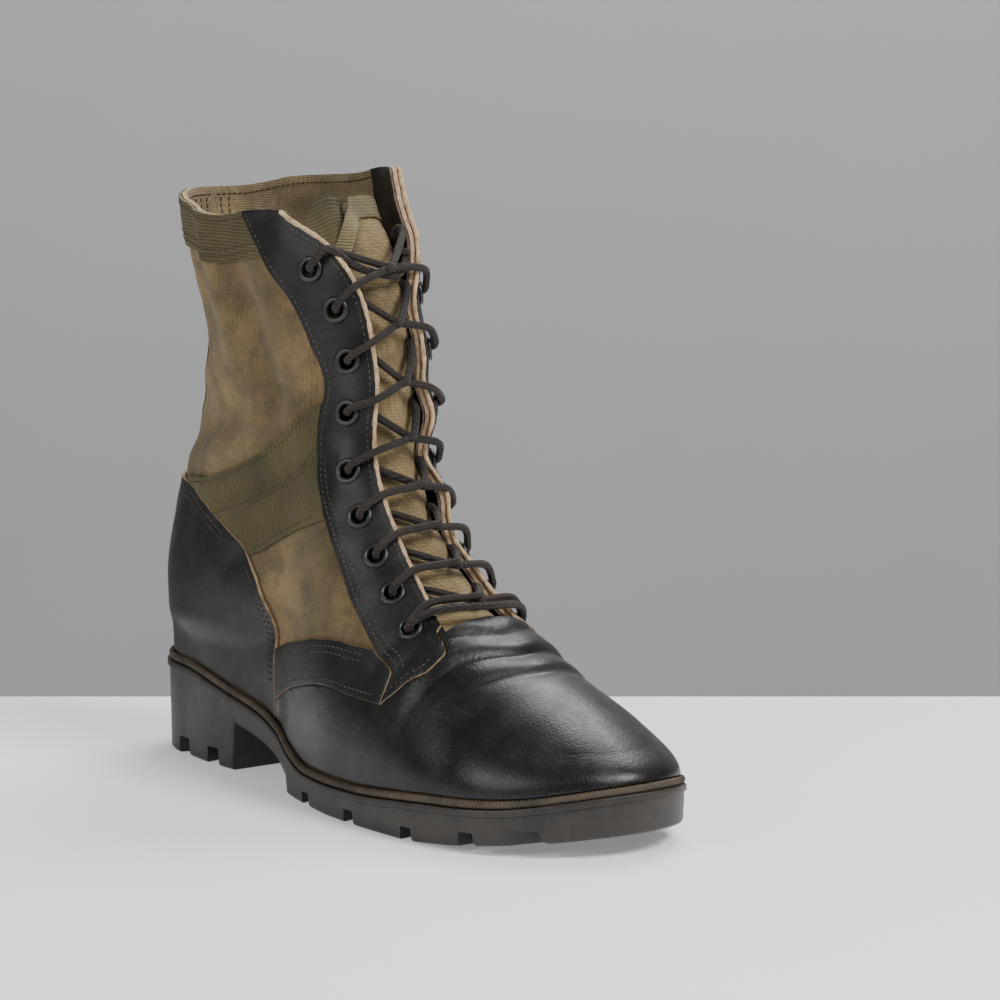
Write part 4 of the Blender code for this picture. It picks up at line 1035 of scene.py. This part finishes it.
def along_table(side, table, start, end, shift, over_length):
    """A line on the form beside a panel edge, between two shares, shifted off it."""
    share = np.linspace(start, end, 160)
    value = smooth(table, 1, share)
    if over_length:
        x, z = share * SOLE_LENGTH, value * SHAFT_HEIGHT
    else:
        z, x = share * SHAFT_HEIGHT, value * SOLE_LENGTH
    step = np.stack([np.gradient(x), np.gradient(z)], -1)
    step /= np.linalg.norm(step, axis=1, keepdims=True)
    x, z = x - step[:, 1] * shift, z + step[:, 0] * shift
    starts = np.stack([x, np.where(x > 0, centre_y(x) * 0.5, 0), z], -1)
    return reach(starts, (0, side, 0), 0.08)


def stitch_row(mesh, line, lift, length=0.0017, gap=0.0009, radius=0.00028):
    """Adds short rounded stitches along a line, standing a little out of the surface."""
    line = np.asarray(line)
    total = np.linalg.norm(np.diff(line, axis=0), axis=1).sum()
    count = max(int(total / (length + gap)), 1)
    shares = (np.arange(count) + 0.5) / count
    half = length / 2 / total
    starts = hug(spaced(line, shares - half), lift)
    ends = hug(spaced(line, shares + half), lift)
    normals = unit(form_gradient(settle((starts + ends) / 2)))
    for start, end, normal in zip(starts, ends, normals):
        middle = (start + end) / 2 + normal * radius * 0.9
        along = unit(end - start)
        across = np.cross(normal, along)
        rings = []
        for centre, size in ((start - normal * radius, 0.6), (start + (middle - start) * 0.5, 1.0),
                             (middle + (end - middle) * 0.5, 1.0), (end - normal * radius, 0.6)):
            rings.append([mesh.verts.new(centre + radius * size * (
                across * math.cos(a) + normal * math.sin(a)))
                for a in np.linspace(0, 2 * math.pi, 6)[:-1]])
        bridge_tube(mesh, rings)


def seam(name, lines, lift, finish, slot, **sizes):
    mesh = bmesh.new()
    for line in lines:
        stitch_row(mesh, line, lift, **sizes)
    bmesh.ops.recalc_face_normals(mesh, faces=mesh.faces)
    return declare(new_object(name, mesh, [finish]), slot)


def throat_seam(side, inset, start, end):
    throat = top_line(side)[2]
    shares = np.linspace(start, end, 120)
    edges = spaced(throat, shares)
    ahead_of = spaced(throat, shares + 0.004)
    away = unit(np.cross(unit(form_gradient(edges)), ahead_of - edges)) * side
    away *= np.sign((away[:, 1] * side).mean())
    return edges + away * inset


def throat_roll(side, start, end, radius, lift):
    """A rough round edge of bare hide along the throat."""
    line = hug(throat_seam(side, 0.0, start, end), lift)
    mesh = bmesh.new()
    around = 8
    tangent = unit(np.gradient(line, axis=0))
    slope = unit(form_gradient(line))
    across = unit(np.cross(tangent, slope))
    rings = []
    for i in range(len(line)):
        rough = radius * (1 + 0.16 * math.sin(i * 1.7) * math.sin(i * 0.61 + side))
        rings.append([mesh.verts.new(line[i] + rough * (
            across[i] * math.cos(a) + slope[i] * math.sin(a)))
            for a in np.linspace(0, 2 * math.pi, around + 1)[:-1]])
    bridge_tube(mesh, rings)
    bmesh.ops.recalc_face_normals(mesh, faces=mesh.faces)
    return mesh


def make_raw_edges():
    for side, word in SIDES:
        mesh = throat_roll(side, 0.05, 0.995, 0.00105, PANEL_GAP + LEATHER * 0.55)
        declare(new_object("raw_edge_" + word, mesh, [RAW_EDGE]), "leather")


def collar_seam(side, drop):
    line = top_line(side)[3][2:-1].copy()
    line[:, 2] -= drop
    return settle(line, level=True)


def make_seams():
    on_leather = PANEL_GAP + LEATHER
    on_webbing = PANEL_GAP + WEBBING
    leather_rows, web_rows, edge_rows = [], [], []
    for side in (LATERAL, MEDIAL):
        leather_rows += [along_table(side, *row) for row in LEATHER_STITCHES]
        web_rows += [along_table(side, *row) for row in WEBBING_STITCHES]
        web_rows += [collar_seam(side, drop) for drop in
                     (0.0026, COLLAR_BAND - 0.0028, COLLAR_BAND - 0.0056)]
        edge_rows.append(throat_seam(side, 0.0026, 0.03, 0.97))
    seam("stitches_leather", leather_rows, on_leather, THREAD_DARK, "leather")
    seam("stitches_webbing", web_rows, on_webbing, THREAD_OLIVE, "webbing")
    seam("stitches_throat", edge_rows, on_leather, THREAD_DARK, "leather")
    level = np.linspace(0.80, 0.955, 60) * SHAFT_HEIGHT
    inside = [collar_seam(side, 0.0034) for side in (LATERAL, MEDIAL)]
    for place in INSIDE_STITCHES_Y:
        starts = np.stack([np.full(60, SHAFT_MIDDLE_X), np.full(60, place), level], -1)
        inside.append(reach(starts, (-1, 0, 0), RAY))
    seam("stitches_inside", inside, -UPPER_WALL - 0.0004, THREAD_OLIVE, "canvas")


# Eyelets and lace
def make_eyelets(seats):
    """Rolled enamel rings with a barrel through the wall."""
    seat = PANEL_GAP + LEATHER
    depth = -UPPER_WALL - FACING - 2 * GAP
    roll = 0.00105
    profile = [(EYELET_RADIUS, seat)]
    for turn in np.linspace(0, math.pi, 9):
        profile.append((EYELET_RADIUS - roll * (1 - math.cos(turn)) * 1.1,
                        seat + 0.0002 + roll * math.sin(turn)))
    flange, curl = EYELET_HOLE + 0.0019, 0.0006
    profile += [(EYELET_HOLE + 0.0001, seat - 0.0008), (EYELET_HOLE, depth - curl / 2),
                (EYELET_HOLE + 0.0004, depth - curl), (flange, depth - curl),
                (flange, depth), (EYELET_HOLE + 0.0006, depth),
                (EYELET_HOLE + 0.0006, seat - 0.0002)]
    sides = 40
    for side, word in SIDES:
        for number in range(EYELET_COUNT):
            centre, normal = seats[side][2][number], seats[side][3][number]
            lifted = centre + normal * relief(centre)
            mesh = bmesh.new()
            rings = []
            for step in range(sides):
                a = 2 * math.pi * step / sides
                rings.append([mesh.verts.new((r * math.cos(a), r * math.sin(a), z))
                              for r, z in profile])
            bridge(mesh, rings + rings[:1], around=True)
            bmesh.ops.recalc_face_normals(mesh, faces=mesh.faces)
            bmesh.ops.transform(mesh, matrix=on_normal(lifted, normal), verts=mesh.verts)
            row = EYELET_COUNT - number
            name = "eyelet_%s_%d" % (word, row)
            declare(new_object(name + "_ring", mesh, [ENAMEL]), "eyelet", name)


def on_normal(centre, normal):
    """Places a shape made round Z at a centre, along a normal."""
    turn = Vector(normal).to_track_quat("Z", "Y").to_matrix().to_4x4()
    return Matrix.Translation(centre) @ turn


def eyelet_holes(pieces, seats):
    """Cuts the holes through the upper, eyestays and facings."""
    for side, word in SIDES:
        mesh = bmesh.new()
        for centre, normal in zip(seats[side][2], seats[side][3]):
            radius = EYELET_HOLE + HOLE_CLEAR
            bmesh.ops.create_cone(mesh, cap_ends=True, segments=24, radius1=radius,
                                  radius2=radius, depth=HOLE_CUT,
                                  matrix=on_normal(centre, normal))
        bmesh.ops.translate(mesh, verts=mesh.verts, vec=(-HEEL_REST_X, 0, 0))
        cutter = link_mesh("hole_cutter_" + word, mesh)
        for name in pieces[word]:
            cut_by(bpy.data.objects[name], cutter)
        bpy.data.objects.remove(cutter)


def lace_routes(seats):
    """One strand from under each eyelet, over the throat, under the far flap to the next."""
    over = PANEL_GAP + LEATHER + 0.0013 + LACE_RADIUS
    routes = []

    def lifted(side, row, height):
        centre, normal = seats[side][2][row], seats[side][3][row]
        return centre + normal * (height + float(relief(centre)))

    def out_of_eyelet(side, row, away):
        return [lifted(side, row, -0.0065) - away * 0.001, lifted(side, row, -0.001),
                lifted(side, row, over * 0.8) + away * 0.0008,
                lifted(side, row, over + 0.0006) + away * 0.0042]

    for step in range(0, EYELET_COUNT - 1):
        for side in (LATERAL, MEDIAL):
            edges, normals = seats[side][0], seats[side][1]
            far_edges, far_normals = seats[-side][0], seats[-side][1]
            low, high = step, step + 1
            leave = edges[low] * 0.75 + edges[high] * 0.25
            middle, outward = over_front((edges[low][2] + edges[high][2] + far_edges[high][2]
                                          + far_edges[low][2]) / 4)
            inward = unit(middle - far_edges[high])
            away = unit(leave - seats[side][2][low])
            stack = 0.0024 if side == LATERAL else -0.0006
            routes.append(out_of_eyelet(side, low, away) + [
                leave + normals[low] * (over + 0.0002),
                middle * 0.5 + (leave + middle) * 0.25 + outward * (0.0022 + stack * 0.6),
                middle + outward * (0.0012 + stack),
                far_edges[high] + inward * 0.0035 - far_normals[high] * 0.0012,
                far_edges[high] - inward * 0.002 - far_normals[high] * 0.0052,
                lifted(-side, high, -0.0062)])
    lateral, medial = seats[LATERAL], seats[MEDIAL]
    last = EYELET_COUNT - 1
    middle, outward = over_front(lateral[2][last][2] - 0.006)
    inner = (medial[0][last] + medial[0][last - 1]) / 2
    inner_normal = (medial[1][last] + medial[1][last - 1]) / 2
    away = unit(lateral[0][last] - lateral[2][last])
    routes.append(out_of_eyelet(LATERAL, last, away) + [
        lateral[0][last] + lateral[1][last] * (over + 0.0004),
        (lateral[0][last] + middle) / 2 - outward * 0.002, middle * 0.7 + inner * 0.3,
        inner - inner_normal * 0.0012 - away * 0.001, inner + away * 0.004 - inner_normal * 0.005,
        lifted(MEDIAL, last, -0.0062) * 0.6 + inner * 0.4 - inner_normal * 0.003])
    middle, outward = over_front((lateral[0][0][2] + medial[0][0][2]) / 2 + 0.002)
    routes.append([
        lifted(LATERAL, 0, -0.0065), lifted(LATERAL, 0, -0.001), lifted(LATERAL, 0, over * 0.8),
        lateral[0][0] + lateral[1][0] * (over + 0.0004), middle + outward * 0.0042,
        medial[0][0] + medial[1][0] * (over + 0.0004), lifted(MEDIAL, 0, over * 0.8),
        lifted(MEDIAL, 0, -0.001), lifted(MEDIAL, 0, -0.0065)])
    return routes


def braid(mesh, points, radius):
    """A round braid: a tube with two families of soft strands standing out of it."""
    points = np.array([list(p) for p in points])
    total = np.linalg.norm(np.diff(points, axis=0), axis=1).sum()
    count = max(int(total / 0.0009), 8)
    line = spaced(points, np.linspace(0, 1, count + 1))
    tangent = unit(np.gradient(line, axis=0))
    side = unit(np.cross(tangent[0], (0.3, 0.9, 0.2)))
    rings, sides = [], 12
    for i in range(count + 1):
        side = unit(side - tangent[i] * (side @ tangent[i]))
        other = np.cross(tangent[i], side)
        along = i * total / count / 0.0042 * 2 * math.pi
        ring = []
        for j in range(sides):
            a = 2 * math.pi * j / sides
            strand = math.cos(3 * a + along) * math.cos(3 * a - along)
            size = radius * (1 + 0.10 * strand)
            ring.append(mesh.verts.new(line[i] + size * (side * math.cos(a)
                                                         + other * math.sin(a))))
        rings.append(ring)
    bridge_tube(mesh, rings)


def make_lace(seats):
    mesh = bmesh.new()
    for route in lace_routes(seats):
        braid(mesh, smooth_route(route, 8), LACE_RADIUS * 0.98)
    bmesh.ops.recalc_face_normals(mesh, faces=mesh.faces)
    nodes = ["lace_bar"] + ["lace_crossing_%d" % n for n in range(1, EYELET_COUNT - 1)]
    return declare(new_object("lace_braided", mesh, [LACE]), "lace", *nodes)


# Tongue
TONGUE_SLANT = 0.025
TONGUE_FALL = 0.007
TAPE_ROWS = 6
TONGUE_FOLDS = [(0.0, 0.0, 0.3), (0.2, 0.4, 0.4), (0.45, 1.0, 0.6), (0.7, 1.4, 0.9),
                (0.85, 3.0, 1.4), (1.0, 5.5, 2.2)]


def make_gusset(grid, drops):
    """The tongue's olive inner fold: it leaves the cloth's back and bows open at the top."""
    first_row, first, last = 79, 4, 32
    bow_out, stand_off = 0.017, 0.0020
    mesh = bmesh.new()
    rows = []
    for i in range(first_row, len(grid)):
        rise = (i - first_row) / (len(grid) - 1 - first_row)
        row = []
        for j in range(first, last + 1):
            u = (j - first) / (last - first)
            bow = stand_off + bow_out * math.sin(math.pi * u) * rise ** 1.5
            lift = drops[i][j] * (0.35 + 0.5 * u) + 0.003 * rise * math.sin(math.pi * u)
            row.append(mesh.verts.new(grid[i][j] + np.array([-bow, 0, lift])))
        rows.append(row)
    bridge(mesh, rows)
    mesh.normal_update()
    piece = new_object("tongue_gusset", mesh, [OLIVE, OLIVE])
    wall(piece, TONGUE_WALL * 0.7, outward=False)
    declare(piece, "tongue_canvas")


def make_tongue():
    """Canvas sheet with soft lengthwise folds that deepen into a curl at its taped top."""
    steps, columns = 110, 44
    shares = np.linspace(0, 1, steps + 1)
    middle = spaced(tongue_line(), shares)
    slope = form_gradient(middle)
    slope[:, 1] = 0
    slope = unit(slope)
    half = smooth(TONGUE, 1, shares) * SHAFT_WIDTH
    lean = smooth(TONGUE, 2, shares) * SHAFT_WIDTH
    fold = smooth(TONGUE_FOLDS, 1, shares) * MILLIMETRE
    drift = smooth(TONGUE_FOLDS, 2, shares)
    sunk = UPPER_WALL + TONGUE_CLEAR + TONGUE_WALL / 2
    back_off = 0.03
    across = np.linspace(-1, 1, columns + 1)
    low = np.clip((0.45 - across) / 0.80, 0, 1)
    low = TONGUE_SLANT * low * low * (3 - 2 * low)
    low += TONGUE_FALL * np.clip((across - 0.55) / 0.45, 0, 1) ** 1.5
    grid, drops = [], []
    for i in range(steps + 1):
        drop = low * shares[i] ** 3
        drops.append(drop)
        start = middle[i] - slope[i] * back_off + np.stack(
            [np.zeros(columns + 1), half[i] * across, -drop], -1)
        point = reach(start, slope[i], 2 * back_off)
        normal = unit(form_gradient(point))
        groove_at, ridge_at = 0.30 + 0.06 * drift[i], 0.66
        wavy = fold[i] * (np.exp(-((across - ridge_at) / 0.24) ** 2)
                          - 0.8 * np.exp(-((across - groove_at) / 0.20) ** 2)
                          - 0.7 * np.clip((0.1 - across) / 1.1, 0, 1) ** 1.5)
        ripple = np.sin(shares[i] * 62 + 2.2 * across) * 0.0005 * min(shares[i] * 3, 1)
        point = point + normal * (wavy + ripple - sunk - 0.4 * fold[i])[:, None]
        point[:, 0] -= lean[i]
        grid.append(point)
    mesh = bmesh.new()
    rows = [[mesh.verts.new(p) for p in row] for row in grid]
    bridge(mesh, rows)
    mesh.normal_update()
    piece = new_object("tongue_cloth", mesh, [TONGUE_CLOTH, TONGUE_CLOTH])
    wall(piece, TONGUE_WALL, outward=False).modifiers["wall"].offset = 0.0
    declare(piece, "tongue_canvas", "tongue")

    make_gusset(grid, drops)

    tape = bmesh.new()
    grid = np.array(grid)
    normals = unit(np.cross(np.gradient(grid, axis=1), np.gradient(grid, axis=0)))
    lifted = 0.0013
    loop = np.concatenate([(grid + normals * lifted)[-TAPE_ROWS:],
                           (grid - normals * lifted)[-TAPE_ROWS:][::-1]])
    rows = [[tape.verts.new(p) for p in row] for row in loop]
    bridge(tape, rows)
    piece = new_object("tongue_tape", tape, [TAPE, TAPE])
    wall(piece, 0.0006, outward=True, bevel=0)
    declare(piece, "tongue_canvas")


# Sole
def fine_loft(rings, count):
    """The sole's outline at several insets and heights, finely stepped."""
    mesh = bmesh.new()
    turn = np.linspace(0, math.pi, count + 1)
    shares = (1 - np.cos(turn)) / 2
    levels = []
    for inset, height in rings:
        level = []
        for share in shares:
            x = inset + share * (SOLE_LENGTH - 2 * inset)
            z = height(share)
            ends = [float(outline_y(x, side, inset)) for side in (LATERAL, MEDIAL)]
            if share in (shares[0], shares[-1]):
                vert = mesh.verts.new((x, (ends[0] + ends[1]) / 2, z))
                level.append((vert, vert))
            else:
                level.append(tuple(mesh.verts.new((x, y, z)) for y in ends))
        levels.append(level)

    def face(*verts):
        mesh.faces.new(list(dict.fromkeys(verts)))

    for i in range(count):
        for upper, lower in zip(levels[:-1], levels[1:]):
            for side in (0, 1):
                face(upper[i][side], upper[i + 1][side], lower[i + 1][side], lower[i][side])
        for level in (levels[0], levels[-1]):
            face(level[i][0], level[i + 1][0], level[i + 1][1], level[i][1])
    bmesh.ops.recalc_face_normals(mesh, faces=mesh.faces)
    return mesh


def make_sole():
    lip, step = 0.0026, 0.0006

    def rim(drop):
        return lambda s: float(rim_z(s * SOLE_LENGTH)) - drop

    rings = [(0.0016, rim(-0.0002)), (0.0003, rim(0.0)), (0.0, rim(0.0006)), (0.0, rim(lip)),
             (0.0006, rim(lip + 0.0002)), (0.0010, rim(lip + step)), (0.0010, rim(lip + 0.004)),
             (0.0014, lambda s: tread_z(s) + 0.0010), (0.0022, tread_z)]
    piece = new_object("outsole_moulded", fine_loft(rings, 260), [RUBBER])
    bars = bmesh.new()
    overhang = 0.012
    for gaps, width, reach_in, depth in (
            (LUG_GAPS, LUG_GAP_WIDTH, LUG_GAP_REACH, LUG_DEPTH),
            (HEEL_GAPS, HEEL_GAP_WIDTH, HEEL_GAP_REACH, HEEL_GAP_DEPTH)):
        for share, sweep in gaps:
            for side in (LATERAL, MEDIAL):
                x = share * SOLE_LENGTH
                edge = float(outline_y(x, side, 0))
                length = reach_in + overhang
                y = edge - side * (reach_in - overhang) / 2
                centre = Vector((x, y, tread_z(share)))
                groove(bars, centre, width, length, depth, sweep, side)
    bmesh.ops.translate(bars, verts=bars.verts, vec=(-HEEL_REST_X, 0, 0))
    cutter = link_mesh("lug_cutter", bars)
    cut = cut_by(piece, cutter)
    bpy.data.objects.remove(cutter)
    cut.shade_smooth()
    cut.set_sharp_from_angle(angle=math.radians(32))
    soft = piece.modifiers.new("soft_edge", "BEVEL")
    soft.width, soft.segments = 0.0005, 2
    soft.limit_method, soft.angle_limit = "ANGLE", math.radians(50)
    declare(piece, "rubber", "outsole")


def make_welt():
    """A moulded bead with slanting rope ribs, over a flat strip."""
    inner = LEDGE - GAP
    count = 900
    around = 9
    mesh = bmesh.new()
    sections = []
    shares = np.linspace(0, 1, count + 1)
    length = 0.36
    bead_inset, bead_lift, bead = 0.0021, 0.0019, 0.00165
    for side in (LATERAL, MEDIAL):
        middle = spaced(feather_line(side, bead_inset, bead_lift), shares)
        edge = spaced(feather_line(side, 0.0, bead_lift), shares)
        outward = unit(edge - middle)
        half = []
        for i in range(count + 1):
            section = []
            for a in np.linspace(-0.5 * math.pi, 1.1 * math.pi, around):
                ridge = 1 + 0.13 * math.cos(i * length / count / 0.0016 * 2 * math.pi + 1.4 * a)
                out = outward[i] * math.cos(a) * bead * ridge
                up = np.array([0, 0, math.sin(a) * bead * ridge])
                section.append(mesh.verts.new(middle[i] + out + up))
            half.append(section)
        sections += half if side == LATERAL else half[::-1][1:-1]
    close_round(mesh, sections)
    declare(new_object("welt_bead", mesh, [BEAD], 70), "welt_bead", "welt")
    profile = [(0.0030, 0.0004), (0.0030, 0.0016), (inner, 0.0022), (inner, 0.0004)]
    declare(new_object("welt_strip", ring_strip(profile, 220), [RUBBER]), "welt_bead")


# Stage
AZIMUTH = 52.59
ELEVATION = 8.4
DISTANCE = 1.6917
TARGET = (0.150, 0.0, 0.120)
SLIDE = (-0.03972, -0.00185)
FOCAL_PIXELS = 4104.7
FRAME_PIXELS = 1000
SENSOR = 36.0


def make_camera():
    turn, rise = math.radians(AZIMUTH), math.radians(ELEVATION)
    right = Vector((math.cos(turn), math.sin(turn), 0))
    back = Vector((math.sin(turn) * math.cos(rise), -math.cos(turn) * math.cos(rise),
                   math.sin(rise)))
    up = back.cross(right)
    target = Vector(TARGET) - Vector((HEEL_REST_X, 0, 0))
    data = bpy.data.cameras.new("camera")
    data.sensor_width = SENSOR
    data.lens = FOCAL_PIXELS * SENSOR / FRAME_PIXELS
    made = bpy.data.objects.new("camera", data)
    made.matrix_world = Matrix((right, up, back)).transposed().to_4x4()
    made.location = target + back * DISTANCE - right * SLIDE[0] - up * SLIDE[1]
    bpy.context.scene.collection.objects.link(made)
    bpy.context.scene.camera = made
    return right, back


def stage_plane(name, corners, colour, rough, glow=0.0):
    mesh = bmesh.new()
    mesh.faces.new([mesh.verts.new(corner) for corner in corners])
    made = link_mesh(name, mesh)
    made_of, tree, shader, spot = nodes_of(name)
    clouds = noise(tree, spot, 3, 3)
    light = tuple(min(c * 1.04, 1.0) for c in colour)
    tree.links.new(ramp(tree, clouds, [(0.3, colour), (0.7, light)]), shader.inputs["Base Color"])
    shader.inputs["Roughness"].default_value = rough
    shader.inputs["Emission Color"].default_value = (1, 1, 1, 1)
    shader.inputs["Emission Strength"].default_value = glow
    made.data.materials.append(made_of)


def area_light(name, place, size, power, colour=(1, 1, 1)):
    data = bpy.data.lights.new(name, "AREA")
    data.shape = "DISK"
    data.size = size
    data.energy = power
    data.color = colour
    made = bpy.data.objects.new(name, data)
    made.location = place
    aim = Vector((0.12, 0, 0.10)) - Vector(place)
    made.rotation_euler = aim.to_track_quat("-Z", "Y").to_euler()
    bpy.context.scene.collection.objects.link(made)


def make_stage():
    right, back = make_camera()
    level = Vector((back.x, back.y, 0)).normalized()
    centre = Vector((0.114, 0, 0))
    near, far, wide = level * 2.2, level * -0.20, right * 3.0
    stage_plane("floor", [centre + near - wide, centre + near + wide, centre + far + wide,
                          centre + far - wide], (0.90, 0.90, 0.90), 0.6, 0.22)
    wall_foot = centre - level * 1.6 - Vector((0, 0, 1.2))
    height = Vector((0, 0, 3.6))
    stage_plane("backdrop", [wall_foot - wide, wall_foot + wide, wall_foot + wide + height,
                             wall_foot - wide + height], (0.50, 0.50, 0.50), 0.9)
    area_light("key", centre + level * 0.9 + right * 1.1 + Vector((0, 0, 1.5)), 0.9, 42)
    area_light("fill", centre + level * 1.2 - right * 1.4 + Vector((0, 0, 1.1)), 1.4, 20)
    area_light("rear", centre - level * 0.9 + right * 0.4 + Vector((0, 0, 1.5)), 0.9, 20)
    world = bpy.data.worlds.new("studio")
    bpy.context.scene.world = world
    world.use_nodes = True
    world.node_tree.nodes["Background"].inputs["Color"].default_value = (0.78, 0.80, 0.82, 1)
    world.node_tree.nodes["Background"].inputs["Strength"].default_value = 0.26


def main():
    make_stage()
    seats = {side: eyelet_seats(side) for side in (LATERAL, MEDIAL)}
    make_sole()
    make_welt()
    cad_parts["insole"].data.materials.clear()
    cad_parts["insole"].data.materials.append(BOARD)
    make_upper()
    make_panels()
    holes = {"lateral": ["upper_dressed", "eyestay_lateral_dressed", "facing_lateral"],
             "medial": ["upper_dressed", "eyestay_medial_dressed", "facing_medial"]}
    eyelet_holes(holes, seats)
    make_seams()
    make_raw_edges()
    make_eyelets(seats)
    make_lace(seats)
    make_tongue()


main()
